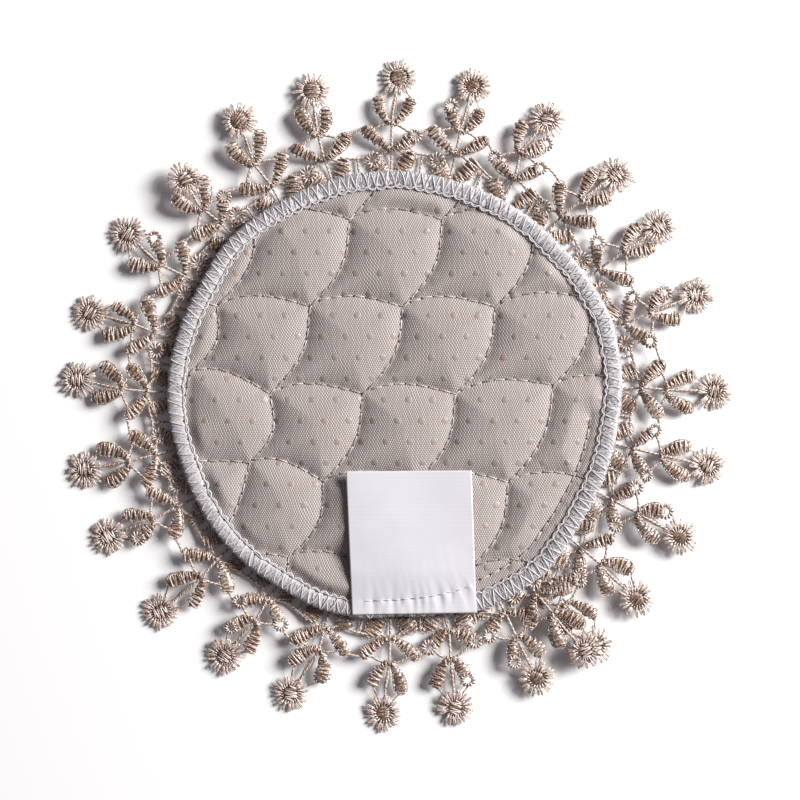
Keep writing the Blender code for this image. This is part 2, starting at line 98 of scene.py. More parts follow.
# Overlocked edge
BAND_STEPS = 420
STITCHES_ROUND = 136
BAND_THREAD = 0.19 * MM
DOUBLED = 0.7  # share of the zigzag's threads that lie double
FILAMENT = 0.08 * MM
BAND_OUTSIDE = 18  # points of the band's section along its outside
BAND_UNEVEN = 0.05 * MM
BAND_SLOPE = 0.2 * MM  # half the distance over which the band's slope is read

# Lace
LACE = 1.1 * MM
LACE_LOW = 0.3 * MM
LACE_MID = LACE_LOW + LACE / 2
LACE_IN = 55.6 * MM
HEADER = 2.6 * MM
HEADER_CORD = 0.3 * MM  # radius of the cords along both edges of the header
HEADER_THREAD = 0.22 * MM
HEADER_STEP = 0.9  # degrees
HEADER_PAST = 7  # degrees from a length's first and last motifs to its ends
LACE_FREE = 62.0 * MM
LACE_ARCH = 1.9 * MM
ARCH_SKEW = 0.8
ARCH_START = 5.0
SATIN = 0.235 * MM  # radius of a satin thread
LEAF_PITCH = 1.24 * MM  # length of a leaf's zigzag stitch
CORE_THREAD = 0.2 * MM
PETAL_ROOT = 2.6 * MM
PETAL_REACH = 4.75 * MM
PETAL = 0.235 * MM  # radius of a petal's thread
# A petal's loop of thread, from its root to its tip and back: shares of its length, and
# of its half width
PETAL_ALONG = np.array((0, 0.4, 0.75, 0.95, 1.0, 0.95, 0.75, 0.4, 0))
PETAL_APART = np.array((-0.5, -0.8, -1.0, -0.7, 0.0, 0.7, 1.0, 0.8, 0.5))
CORE = 2.0 * MM  # radius of a flower's satin middle
CORE_PITCH = 1.1 * MM
SPOKES = 2.5 * MM  # radius of the ring of stitches round it
SPOKE_REACH = 0.65 * MM
COIL_POINTS = 10  # to a turn
EDGE_CORD = 0.16 * MM  # radius of the cord round a leaf
EDGE_STEP = 0.42 * MM
PAIRED = 0.12  # of a stitch: how far its two crossings draw together
CORDED = 0.6  # share of the leaves whose cord shows
RING_POINTS = 6  # to a turn
EYELETS = 0.22  # share of the leaves that end in an eyelet
EYELET_AT = 0.82  # how far along the leaf its middle lies
EYELET_FROM = 0.74  # how far along the leaf the satin ends before it
EYELET_STITCHES = 12
LEAF_POINTS = 40
SHOULDER = 26  # the point of a leaf beside which its bar is tied
UNDER_SPARSE = 2.3  # how far apart the stitches lie on a leaf's under side
CORE_UNDER_SPARSE = 1.6  # the same for a flower's middle
FINE = 0.12 * MM  # radius of a fine thread
STRAND = 0.23 * MM  # radius of one strand of a stem
STEM_PITCH = 1.25 * MM
STEM_SPREAD = 0.2 * MM
SPLICE = 142.0  # clock angle of the place where the trim's ends overlap
SPLICE_HALF = 8.0
SPLICE_RISE = 1.2 * MM
UPPER_PAINTED_SHADE = 0.9  # painted shade: the tint of the end that lies on top, as a share of the rest's

# Radius of the doily's edge to the outside of the overlock, round the clock
RimPoint = namedtuple("RimPoint", "clock radius")
RIM = [RimPoint(clock, radius * MM) for clock, radius in (
    (0, 59.9), (15, 59.3), (45, 59.3), (60, 60.1), (70, 61.0), (80, 60.6), (100, 59.7),
    (120, 59.7), (130, 60.3), (140, 61.7), (158, 61.5), (170, 59.4), (180, 58.9),
    (190, 60.1), (200, 60.4), (210, 59.9), (230, 60.4), (250, 60.1), (270, 60.9),
    (300, 60.1), (312, 61.0), (335, 60.1),
)]

# One lace motif in a row. clock is where its lower leaves meet, elbow and lean are how
# far its upper leaves and its flower lie clockwise of that, in degrees. seat, fork and
# reach are the radii of the lower leaves' meeting, the upper leaves' and the flower's
# middle. lift is how far the flower stands above the run of the lace. The rows' sizes
# are in millimetres.
Motif = namedtuple("Motif", "clock elbow lean seat fork reach lift")
MOTIFS = [Motif(*row[:3], *(size * MM for size in row[3:])) for row in (
    (359.0, 0.1, 1.5, 65.9, 72.8, 85.1, -0.2),
    (13.9, -0.2, 0.1, 66.5, 72.7, 85.1, 0.4),
    (28.7, -1.6, 0.0, 66.1, 73.0, 84.1, 0.7),
    (42.7, 0.8, 2.3, 65.2, 72.2, 83.3, 0.4),
    (58.1, -0.4, -0.8, 64.2, 72.2, 83.6, -0.2),
    (72.6, -0.6, -1.1, 64.5, 71.6, 84.6, -0.2),
    (88.2, 0.6, 1.0, 65.6, 72.3, 85.2, -0.2),
    (102.6, 0.1, 0.2, 65.0, 72.7, 85.4, 0.2),
    (115.8, 0.1, 0.6, 64.2, 71.8, 84.5, 1.8),
    (129.4, 0.2, 0.8, 64.4, 71.0, 84.0, 1.7),
    (139.7, 1.0, 1.8, 64.8, 71.7, 85.2, 2.3),
    (144.7, -0.5, -1.2, 64.8, 71.7, 84.5, 2.6),
    (153.3, 0.2, 0.2, 64.9, 72.2, 84.2, 1.7),
    (167.3, 1.0, 1.9, 64.5, 71.9, 84.9, 0.2),
    (181.4, 0.0, 0.9, 64.9, 71.6, 85.0, -0.2),
    (197.1, -0.3, 2.4, 65.1, 71.1, 84.5, -0.1),
    (212.1, -0.1, 1.3, 64.6, 71.0, 83.3, 0.1),
    (227.5, -0.6, 0.0, 64.9, 71.2, 85.6, -0.2),
    (243.1, -0.1, 0.8, 65.5, 72.9, 85.9, -0.2),
    (256.2, -0.1, 0.4, 66.1, 73.5, 85.7, -0.2),
    (270.9, 0.4, 2.0, 66.4, 73.1, 85.4, -0.2),
    (284.6, 0.6, 0.5, 66.7, 72.3, 84.9, -0.2),
    (299.5, -0.5, 1.5, 64.9, 71.8, 83.8, -0.1),
    (314.5, -0.5, 1.2, 65.7, 71.4, 80.4, 3.3),
    (329.3, -0.9, 1.0, 65.1, 72.5, 84.5, 1.3),
    (343.1, 0.2, 1.5, 65.8, 72.5, 84.5, 0.7),
)]
# The rows of the motifs in each of the trim's four lengths
LENGTHS = (range(0, 7), range(7, 13), range(13, 20), range(20, 26))
UPPER_LAYER = {144.7}  # clock angles of the motifs that lie on top where the trim overlaps
OPEN_FLOWERS = {13.9, 115.8, 129.4, 153.3, 181.4}  # whose middles are sunken
FULL_FLOWERS = {359.0, 329.3, 343.1}  # whose middles are wide

# The satin middle of a flower, its radius, stitch, rise, thread and tint, and the ring
# round it, its radius, reach, number of stitches and thread
# The tint holds painted shade and light: sunken middles are darker, the raised plain middle
# lighter.
Flower = namedtuple("Flower", "core pitch rise thick light ring reach turns ring_thick")
OPEN = Flower(CORE, 0.45 * CORE_PITCH, 0.0, 0.17 * MM, 0.5,
              SPOKES, 0.9 * SPOKE_REACH, 19, 1.15 * CORE_THREAD)
FULL = Flower(1.25 * CORE, 0.5 * CORE_PITCH, 0.1 * MM, 0.17 * MM, 0.7,
              1.12 * SPOKES, 0.6 * SPOKE_REACH, 26, CORE_THREAD)
PLAIN = Flower(CORE, CORE_PITCH, 0.35 * MM, 1.15 * CORE_THREAD, 1.2,
               SPOKES, SPOKE_REACH, 23, CORE_THREAD)

# A pair of leaves that open from a point of a motif's stem: how far out from that point
# they start, how far out and to the side of it their tips lie, their width, and how far
# their middle bows to the side
Pair = namedtuple("Pair", "start out side width bow")
UPPER = Pair(-0.5 * MM, 7.1 * MM, 4.1 * MM, 4.3 * MM, 0.55 * MM)
LOWER = Pair(-0.2 * MM, 4.9 * MM, 7.2 * MM, 4.2 * MM, 0.3 * MM)
UNDER = Pair(-8.2 * MM, -1.4 * MM, 5.6 * MM, 4.8 * MM, 0.2 * MM)

# Half width of a leaf along its length, from its root to its tip
LEAF_ALONG = (0.0, 0.2, 0.42, 0.66, 0.88, 1.0)
LEAF_HALF = (0.40, 0.50, 0.80, 1.02, 1.02, 0.66)

# Quilting: knots where the two sets of stitched waves cross, and how far each wave bows
KNOT = Vector((-8.8, 0.4)) * MM
ACROSS = Vector((24.7, -0.1)) * MM
DOWN = Vector((-10.6, -23.3)) * MM
BOW_ACROSS = 2.8 * MM
BOW_DOWN = 3.6 * MM
SKEW_ACROSS = 0.8
SKEW_DOWN = 1.16
KNOT_RANGE = range(-3, 5)
KnotShift = namedtuple("KnotShift", "across down right away")
KNOT_SHIFTS = [KnotShift(*row[:2], row[2] * MM, row[3] * MM) for row in (
    (-2, 0, 3.4, 5.6), (-1, 1, 5.2, 4.9), (0, 2, 1.6, 3.2), (2, -1, 1.0, 2.4),
    (3, -1, 0.0, 2.4), (2, 0, 1.5, 2.6), (3, 0, 0.0, 2.4),
)]
EDGE_SEAM = (96, 162)  # clock angles of a second row of stitches along the rim
EDGE_SEAM_IN = 7.6 * MM  # its distance from the doily's edge

# Care label: its corners seen from above
LABEL_TOP_LEFT = Vector((-13.3, -20.1)) * MM
LABEL_TOP_RIGHT = Vector((20.1, -19.9)) * MM
LABEL_LOW_LEFT = Vector((-11.7, -58.3)) * MM
LABEL_LOW_RIGHT = Vector((21.4, -57.7)) * MM
LABEL_THICK = 0.25 * MM
LABEL_RIDE = 1.0 * MM  # how far it rises from the rim to the middle of the pad
LABEL_CELL = 0.42 * MM
LABEL_CLEAR = 0.35 * MM  # from the pad to the label over it
# The row of stitches that holds it, from left to right
LABEL_SEAM = np.array([Vector(place) * MM for place in (
    (-8.6, -54.6), (1.1, -54.2), (9.2, -53.4), (16.2, -51.8), (20.3, -50.4),
)])
LABEL_STITCH = 2.4 * MM
LABEL_THREAD = 0.14 * MM
# The puckers along that row, in millimetres: their height, how far they reach from it,
# their length, and which way they drift
PUCKERS = ((0.13, 3.2, 4.9, 1), (0.07, 4, 2.7, -1), (0.05, 1.6, 1.7, 1))

# Camera and light
VIEW_MIDDLE = Vector((1.07, -1.2)) * MM
VIEW_WIDTH = 213.3 * MM
LENS = 100.0
SENSOR = 36.0
LACE_LEVEL = 3.0 * MM  # the height at which the view has its width
KEY_CLOCK = 69.0  # the side that the main light comes from
KEY_RISE = 31.0  # its height above the floor, in degrees
KEY_AWAY = 1.6
KEY_SIZE = 0.85
KEY_POWER = 62
KEY_COLOR = (1.0, 0.985, 0.965)
ROOM_COLOR = (0.97, 0.885, 0.985, 1)
ROOM_LIGHT = 0.14
FLOOR_HALF = 1.5


def smooth(share):
    """From 0 to 1, with no slope at either end."""
    share = np.clip(share, 0, 1)
    return share * share * (3 - 2 * share)


def round_the_clock(rows, clock, column):
    """The values of a column at clock angles, eased from each row of a table to the next."""
    clock = np.asarray(clock, float) % 360
    ordered = sorted(rows, key=lambda row: row.clock)
    stops = np.array([row.clock for row in ordered])
    values = np.array([getattr(row, column) for row in ordered])
    low = np.searchsorted(stops, clock, side="right") - 1
    high = (low + 1) % len(stops)
    share = ((clock - stops[low]) % 360) / ((stops[high] - stops[low]) % 360)
    share = smooth(share)
    return values[low] * (1 - share) + values[high] * share


def rim_radius(clock):
    return round_the_clock(RIM, clock, "radius")


def clocks_of(places):
    return np.degrees(np.arctan2(places[..., 0], places[..., 1])) % 360


def rim_inset(places):
    """How far places lie in from the doily's edge."""
    return rim_radius(clocks_of(places)) - np.linalg.norm(places, axis=-1)


def spots(clocks, radii):
    """Places at clock angles and distances from the middle."""
    turns = np.radians(clocks)
    return np.stack((radii * np.sin(turns), radii * np.cos(turns)), axis=-1)


def run_lengths(line):
    """How far along a line each of its points lies."""
    steps = np.linalg.norm(np.diff(line, axis=0), axis=1)
    return np.concatenate(([0], np.cumsum(steps)))


def at_stops(line, stops, wanted):
    """Points along a line whose own points lie at stops."""
    return np.stack([np.interp(wanted, stops, column) for column in line.T], axis=1)


def spaced(line, step):
    """A line's points moved so that they lie evenly, about a step apart."""
    along = run_lengths(line)
    count = max(2, int(round(along[-1] / step)) + 1)
    return at_stops(line, along, np.linspace(0, along[-1], count))


def bend(start, middle, end, count=BEND_POINTS):
    """A curve from start to end that its middle point pulls aside."""
    share = np.linspace(0, 1, count)[:, None]
    return (1 - share) ** 2 * start + 2 * share * (1 - share) * middle + share**2 * end


def raised(places, heights):
    """Places at heights: one for all, or one for each."""
    return np.column_stack((places, np.broadcast_to(heights, len(places))))


def unit(steps):
    """Steps of length one in the same directions."""
    return steps / (np.linalg.norm(steps, axis=-1, keepdims=True) + TINY)


def right_of(steps):
    """Steps turned to the right, seen from above."""
    return np.stack((steps[..., 1], -steps[..., 0]), axis=-1)


# Pieces


def add_object(name, data):
    item = bpy.data.objects.new(name, data)
    bpy.context.scene.collection.objects.link(item)
    return item


def new_piece(name, points, faces, material, tints=None):
    """A mesh object that rides on the body. tints is one value for each point."""
    mesh = bpy.data.meshes.new(name)
    mesh.from_pydata(points.tolist(), [], faces)
    mesh.materials.append(material)
    mesh.shade_smooth()
    if tints is not None:
        layer = mesh.attributes.new("tint", "FLOAT", "POINT")
        layer.data.foreach_set("value", np.asarray(tints, np.float32))
    piece = add_object(name, mesh)
    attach(piece, BODY)
    return piece


def tube_faces(rows, sides, closed, first=0):
    """The side faces of a tube whose points lie in rows, each row once round it."""
    row = np.arange(rows if closed else rows - 1)[:, None]
    side = np.arange(sides)[None]
    next_row, next_side = (row + 1) % rows, (side + 1) % sides
    corners = (row * sides + side, row * sides + next_side)
    corners += (next_row * sides + next_side, next_row * sides + side)
    return (np.stack(corners, axis=-1).reshape(-1, 4) + first).tolist()


def two_sided(places, top, bottom, faces, rim):
    """The points and faces of a cloth with an upper side, an under side and an edge. faces
    are those of the upper side, and rim is the row of places round it."""
    count = len(places)
    points = np.concatenate((raised(places, top), raised(places, bottom)))
    below = [[corner + count for corner in (face[0], *face[:0:-1])] for face in faces]
    edge = [(a, b, b + count, a + count) for a, b in zip(rim, rim[1:] + rim[:1])]
    return points, [*faces, *below, *edge]


class Threads:
    """Gathers threads, each a tube round a line of points, into one mesh."""

    def __init__(self, seed):
        self.points = []
        self.faces = []
        self.tints = []
        self.count = 0
        self.random = np.random.default_rng(seed)

    def add(self, line, radius, sides=5, beside=(0, 0, 1), tint=None, closed=False, flat=1.0):
        """A tube round a line. beside is any direction that the line doesn't follow, and
        flat is how thick the tube is that way, for its width. beside, the radius and the
        tint are one value, or one for each of the line's points."""
        line = np.asarray(line, float)
        if closed:
            run = unit(np.roll(line, -1, axis=0) - np.roll(line, 1, axis=0))
        else:
            run = unit(np.gradient(line, axis=0))
        beside = np.broadcast_to(np.asarray(beside, float), line.shape)
        first = unit(beside - (beside * run).sum(axis=1, keepdims=True) * run)
        second = np.cross(run, first)
        turns = 2 * pi * np.arange(sides) / sides
        wheel = flat * np.cos(turns)[:, None] * first[:, None]
        wheel = wheel + np.sin(turns)[:, None] * second[:, None]
        radius = np.broadcast_to(np.asarray(radius, float), (len(line),))
        rings = line[:, None] + radius[:, None, None] * wheel
        self.points.append(rings.reshape(-1, 3))
        self.faces += tube_faces(len(line), sides, closed, self.count)
        if not closed:
            last = self.count + (len(line) - 1) * sides
            self.faces.append(list(range(self.count + sides - 1, self.count - 1, -1)))
            self.faces.append(list(range(last, last + sides)))
        if tint is None:
            tint = self.random.uniform(0, 1)
        self.tints.append(np.repeat(np.broadcast_to(tint, (len(line),)), sides))
        self.count += len(line) * sides

    def piece(self, name, material):
        points = np.concatenate(self.points)
        return new_piece(name, points, self.faces, material, np.concatenate(self.tints))


# Materials


class Finish:
    """A material whose nodes are made by short calls. Its place is the one in the object's
    own space, in millimetres."""

    def __init__(self, name, roughness):
        self.material = bpy.data.materials.new(name)
        self.material.use_nodes = True
        self.tree = self.material.node_tree
        self.shader = self.tree.nodes["Principled BSDF"]
        self.set(Roughness=roughness)
        scale = self.node("VectorMath")
        scale.operation = "SCALE"
        scale.inputs["Scale"].default_value = 1 / MM
        self.link(self.node("TexCoord").outputs["Object"], scale.inputs[0])
        self.place = scale.outputs[0]

    def set(self, **constants):
        """Constants of the shader: an underscore in a name stands for a space."""
        for name, value in constants.items():
            self.shader.inputs[name.replace("_", " ")].default_value = value

    def node(self, kind):
        return self.tree.nodes.new("ShaderNode" + kind)

    def link(self, value, socket):
        if isinstance(value, bpy.types.NodeSocket):
            self.tree.links.new(value, socket)
        else:
            socket.default_value = value

    def math(self, operation, *values):
        node = self.node("Math")
        node.operation = operation
        for value, socket in zip(values, node.inputs):
            self.link(value, socket)
        return node.outputs[0]

    def along(self, axis):
        node = self.node("SeparateXYZ")
        self.link(self.place, node.inputs[0])
        return node.outputs[axis]

    def noise(self, scale, detail=2.0):
        node = self.node("TexNoise")
        node.inputs["Scale"].default_value = scale
        node.inputs["Detail"].default_value = detail
        self.link(self.place, node.inputs["Vector"])
        return node.outputs["Fac"]

    def tint(self):
        node = self.node("Attribute")
        node.attribute_name = "tint"
        return node.outputs["Fac"]

    def blend(self, share, first, second):
        """A colour between two colours."""
        node = self.node("Mix")
        node.data_type = "RGBA"
        self.link(share, node.inputs[0])
        for value, socket in ((first, node.inputs[6]), (second, node.inputs[7])):
            self.link(value if isinstance(value, bpy.types.NodeSocket) else (*value, 1), socket)
        return node.outputs[2]

    def color(self, value):
        self.link(value, self.shader.inputs["Base Color"])

    def bump(self, height, distance, strength=1.0):
        node = self.node("Bump")
        node.inputs["Strength"].default_value = strength
        node.inputs["Distance"].default_value = distance
        self.link(height, node.inputs["Height"])
        self.link(node.outputs["Normal"], self.shader.inputs["Normal"])


def weave(finish):
    """The rise of plain-woven yarns: fine upright ones and thicker ones across."""
    drift = finish.math("MULTIPLY", finish.noise(0.09, 1.0), 5.0)
    yarns = []
    for axis, spacing in (("X", WARP), ("Y", WEFT)):
        count = finish.math("DIVIDE", finish.along(axis), spacing / MM)
        turn = finish.math("MULTIPLY", finish.math("ADD", count, drift), pi)
        yarns.append(finish.math("SINE", turn))
    return finish.math("MULTIPLY", *yarns)


def canvas_finish():
    """Plain-woven canvas, a little uneven."""
    finish = Finish("anti_slip_canvas", 0.82)
    finish.set(Sheen_Weight=0.12, Sheen_Roughness=0.5)
    checks = weave(finish)
    lit = finish.math("MULTIPLY_ADD", checks, 0.5, 0.5)
    yarn = finish.blend(lit, (0.047, 0.04, 0.038), (0.75, 0.66, 0.64))
    patch = finish.noise(0.16, 3.0)
    finish.color(finish.blend(finish.math("MULTIPLY", patch, 0.3), yarn, (0.292, 0.249, 0.24)))
    crowns = finish.math("ABSOLUTE", checks)
    height = finish.math("MULTIPLY_ADD", crowns, 0.7, finish.math("MULTIPLY", checks, 0.3))
    finish.bump(height, 0.14 * MM, 1.0)
    return finish.material


def dot_finish():
    """Printed rubber dots that the weave shows through, some of them rosy."""
    finish = Finish("rubber_dots", 0.42)
    checks = weave(finish)
    tint = finish.blend(finish.tint(), (0.24, 0.197, 0.175), (0.32, 0.232, 0.21))
    lit = finish.math("MULTIPLY_ADD", checks, 0.22, finish.noise(3.0, 3.0))
    finish.color(finish.blend(finish.math("MULTIPLY", lit, 0.6), tint, (0.38, 0.32, 0.295)))
    finish.bump(lit, 0.08 * MM, 0.7)
    return finish.material


# A kind of thread: its colours where it is dark, between and light, and how flecked it is
Yarn = namedtuple("Yarn", "name dark middle light roughness gloss flecks")
QUILTING_YARN = Yarn("quilting_thread", (0.26, 0.22, 0.21), (0.48, 0.425, 0.41),
                     (0.72, 0.65, 0.63), 0.4, 0.4, 1.5)
OVERLOCK_YARN = Yarn("overlock_thread_white", (0.34, 0.325, 0.335), (0.48, 0.465, 0.48),
                     (0.62, 0.605, 0.63), 0.45, 0.35, 1.2)
LACE_YARN = Yarn("lace_thread_tan", (0.08, 0.041, 0.027), (0.272, 0.169, 0.114),
                 (0.7, 0.583, 0.535), 0.26, 1.0, 2.4)
LABEL_YARN = Yarn("label_thread", (0.42, 0.41, 0.46), (0.54, 0.53, 0.58),
                  (0.66, 0.65, 0.7), 0.5, 0.4, 0.6)


def thread_finish(yarn):
    """Twisted thread: its tint changes from thread to thread, and in flecks along each."""
    finish = Finish(yarn.name, yarn.roughness)
    finish.set(Specular_IOR_Level=yarn.gloss, Coat_Weight=yarn.gloss,
               Coat_Roughness=yarn.roughness, Sheen_Weight=0.2, Sheen_Roughness=0.4)
    uneven = finish.math("SUBTRACT", finish.noise(2.4, 2.0), 0.48)
    # On the lace, the tint attribute carries painted highlights and shade besides random tone.
    own = finish.math("MULTIPLY", finish.tint(), 0.85)
    share = finish.math("MULTIPLY_ADD", uneven, yarn.flecks, own)
    double = finish.math("MULTIPLY", share, 2.0)
    lower = finish.blend(double, yarn.dark, yarn.middle)
    finish.color(finish.blend(finish.math("SUBTRACT", double, 1.0), lower, yarn.light))
    finish.bump(finish.noise(7.0, 2.0), 0.06 * MM, 0.6)
    return finish.material


# Painted shade: needle holes are near-black tubes standing for the shade inside them.
def hole_shade_finish():
    finish = Finish("needle_hole_shade", 0.9)
    finish.color(finish.blend(finish.noise(2.0), (0.035, 0.026, 0.022), (0.09, 0.07, 0.06)))
    return finish.material


def band_finish():
    """Soft overlock filaments over the cloth's edge: tint makes them paler or darker round the
    clock.
    """
    finish = Finish("overlock_cover", 0.55)
    finish.set(Sheen_Weight=0.25, Sheen_Roughness=0.4)
    streaks = finish.noise(2.2, 4.0)
    cover = finish.math("MULTIPLY_ADD", streaks, 0.8, finish.math("SUBTRACT", finish.tint(), 0.4))
    finish.color(finish.blend(cover, (0.35, 0.32, 0.318), (0.65, 0.63, 0.66)))
    finish.bump(streaks, 0.12 * MM, 0.6)
    return finish.material


def satin_finish():
    """White satin ribbon with a fine rib across it."""
    finish = Finish("label_satin_weave", 0.38)
    finish.set(Sheen_Weight=0.1)
    turn = finish.math("MULTIPLY", finish.along("Y"), 2 * pi / (RIB / MM))
    rib = finish.math("SINE", turn)
    cloud = finish.noise(0.12, 2.0)
    finish.color(finish.blend(cloud, (0.60, 0.59, 0.64), (0.675, 0.665, 0.705)))
    finish.bump(rib, 0.012 * MM, 0.5)
    return finish.material


def floor_finish():
    finish = Finish("studio_floor", 0.7)
    finish.color(finish.blend(finish.noise(0.01), (0.88, 0.88, 0.89), (0.9, 0.9, 0.91)))
    return finish.material


# Quilted pad


def knot(across, down):
    """The crossing of two stitched waves."""
    place = KNOT + across * ACROSS + down * DOWN
    for row in KNOT_SHIFTS:
        if (row.across, row.down) == (across, down):
            place += Vector((row.right, row.away))
    return np.array(place)


def wave(start, end, bow, skew, side):
    """A stitched wave between two knots, bowed towards a side."""
    count = ceil(np.linalg.norm(end - start) / SEAM_STEP) + 1
    share = np.linspace(0, 1, count)[:, None]
    return start * (1 - share) + end * share + np.array(side) * bow * np.sin(pi * share**skew)


def seam_lines():
    """Every row of quilting stitches, each a line of points from side to side."""
    lines = []
    for fixed in KNOT_RANGE:
        across = []
        down = []
        for step in KNOT_RANGE[:-1]:
            start, end = knot(step, fixed), knot(step + 1, fixed)
            across.append(wave(start, end, BOW_ACROSS, SKEW_ACROSS, (0, 1)))
            start, end = knot(fixed, step), knot(fixed, step + 1)
            down.append(wave(start, end, BOW_DOWN, SKEW_DOWN, (1, 0)))
        lines += [np.concatenate(across), np.concatenate(down)]
    clocks = np.arange(*EDGE_SEAM, 0.7)
    lines.append(spots(clocks, rim_radius(clocks) - EDGE_SEAM_IN))
    return [run for line in lines for run in inside_rim(line)]


def inside_rim(line):
    """The stretches of a line that lie on the open part of the pad."""
    inside = rim_inset(line) > EDGE_REACH - 0.5 * MM
    cuts = np.flatnonzero(np.diff(inside.astype(int))) + 1
    runs = np.split(line, cuts)
    return [spaced(run, SEAM_STEP) for run, kept in zip(runs, np.split(inside, cuts))
            if kept[0] and len(run) > 3]


def nearest_on(lines, places):
    """For each place, its distance to the nearest line and how far along that it lies."""
    nearest = np.full(len(places), 1.0)
    along = np.zeros(len(places))
    for line in lines:
        runs = run_lengths(line)
        for start, end, run in zip(line, line[1:], runs):
            step = end - start
            share = ((places - start) @ step) / (step @ step)
            share = np.clip(share, 0, 1)
            away = np.linalg.norm(places - start - share[:, None] * step, axis=1)
            closer = away < nearest
            nearest = np.where(closer, away, nearest)
            along = np.where(closer, run + share * np.linalg.norm(step), along)
    return nearest, along


class Quilt:
    """The heights of the pad's two cloths."""

    def __init__(self):
        self.lines = seam_lines()
        random = np.random.default_rng(5)
        turns = random.uniform(0, 2 * pi, RIPPLES)
        waves = random.uniform(6, 15, RIPPLES) * MM
        self.swell = np.stack((np.cos(turns), np.sin(turns)), axis=1) * (2 * pi / waves)[:, None]
        self.phases = random.uniform(0, 2 * pi, RIPPLES)

    def edge_share(self, places):
        """From 0 at the rim that the overlock holds to 1 where the pad is full."""
        inset = rim_inset(places) - EDGE_WALL - GAP
        return smooth((inset - RIM_FLAT) / (TURN - RIM_FLAT))

    def top(self, places):
        near, along = nearest_on(self.lines, places)
        full = 1 - np.exp(-((near / PUFF) ** 0.95))
        height = CHANNEL + (CROWN - CHANNEL) * full
        phase = 2 * pi * along / STITCH
        height -= STITCH_DIP * np.exp(-near / STITCH_DIP_REACH) * (0.5 + 0.5 * np.cos(phase))
        height += SEAM_WAVE * np.exp(-near / SEAM_WAVE_REACH) * np.sin(phase * 0.7)
        height += RIPPLE * np.sin(places @ self.swell.T + self.phases).sum(axis=1) * full
        pressed = label_height(places) - LABEL_CLEAR
        height -= np.maximum(height - pressed, 0) * smooth(label_inset(places) / (2 * MM))
        return RIM_HIGH + (height - RIM_HIGH) * self.edge_share(places)

    def bottom(self, places):
        near, _ = nearest_on(self.lines, places)
        full = 1 - np.exp(-((near / PUFF) ** 1.1))
        tucked = TUCK * np.clip(1 - 1.8 * full, 0, 1)
        return RIM_LOW + (tucked - RIM_LOW) * self.edge_share(places)


def pad_places():
    """Points in rings over the pad, and the triangles between them, seen from above."""
    places = [np.zeros((1, 2))]
    for ring in range(1, PAD_RINGS + 1):
        clocks = 360 * np.arange(6 * ring) / (6 * ring)
        radii = (rim_radius(clocks) - EDGE_WALL - GAP) * ring / PAD_RINGS
        places.append(spots(clocks, radii))
    starts = [0] + [1 + 3 * ring * (ring - 1) for ring in range(1, PAD_RINGS + 1)]
    triangles = []
    for ring in range(1, PAD_RINGS + 1):
        outer, inner = 6 * ring, max(1, 6 * (ring - 1))
        for side in range(6):
            for step in range(ring):
                here = starts[ring] + (side * ring + step) % outer
                ahead = starts[ring] + (side * ring + step + 1) % outer
                within = starts[ring - 1] + (side * (ring - 1) + step) % inner
                triangles.append((here, within, ahead))
                if step < ring - 1:
                    after = starts[ring - 1] + (side * (ring - 1) + step + 1) % inner
                    triangles.append((within, after, ahead))
    return np.concatenate(places), triangles


def build_pad(quilt):
    places, triangles = pad_places()
    rim = list(range(len(places) - 6 * PAD_RINGS, len(places)))
    points, faces = two_sided(places, quilt.top(places), quilt.bottom(places), triangles, rim)
    piece = new_piece("pad_cloth", points, faces, canvas_finish())
    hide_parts("quilted_pad")


def dot_centres():
    """The places of the dots on the open part of the pad."""
    centres = []
    for across in DOT_COLUMNS:
        for down in DOT_ROWS:
            centre = np.array(DOT_AT + across * DOT_ACROSS + down * DOT_DOWN)
            if rim_inset(centre) > EDGE_REACH + DOT and label_inset(centre) < DOT:
                centres.append(centre)
    return centres


def build_dots(quilt):
    """Low domes of rubber in an even net."""
    random = np.random.default_rng(8)
    wheel = spots(360 * (0.25 - np.arange(DOT_SIDES) / DOT_SIDES), 1.0)
    places, lifts, faces, tints = [], [], [], []
    for centre in dot_centres():
        first = len(lifts)
        size = DOT * random.uniform(0.9, 1.08)
        for reach, high in DOT_LEVELS:
            places.append(centre + size * reach * wheel)
            lifts += [high * DOT_HIGH] * DOT_SIDES
        faces += tube_faces(len(DOT_LEVELS), DOT_SIDES, False, first)
        top = len(lifts)
        places.append(centre[None])
        lifts.append(DOT_HIGH)
        ring = list(range(top - DOT_SIDES, top))
        faces += [(a, b, top) for a, b in zip(ring, ring[1:] + ring[:1])]
        rosy = random.uniform(0, 0.35) + (random.uniform() < ROSY_DOTS) * 0.6
        tints += [rosy] * (top + 1 - first)
    places = np.concatenate(places)
    points = raised(places, quilt.top(places) + lifts)
    piece = new_piece("rubber_dots", points, faces, dot_finish(), tints)


def stitch_row(line, length):
    """Equal stitches along a line: a list of rows of places, and the ends between them."""
    along = run_lengths(line)
    count = max(1, round(along[-1] / length))
    marks = np.linspace(0, along[-1], count + 1)
    rows = [
        at_stops(line, along, np.linspace(near + STITCH_GAP, far - STITCH_GAP, STITCH_POINTS))
        for near, far in zip(marks, marks[1:])
    ]
    return rows, at_stops(line, along, marks[1:-1])


def stitch_arch(high, sunk):
    """How far a stitch stands above the cloth along its length, of sizes in millimetres."""
    return (high * np.sin(np.linspace(0, pi, STITCH_POINTS)) - sunk) * MM


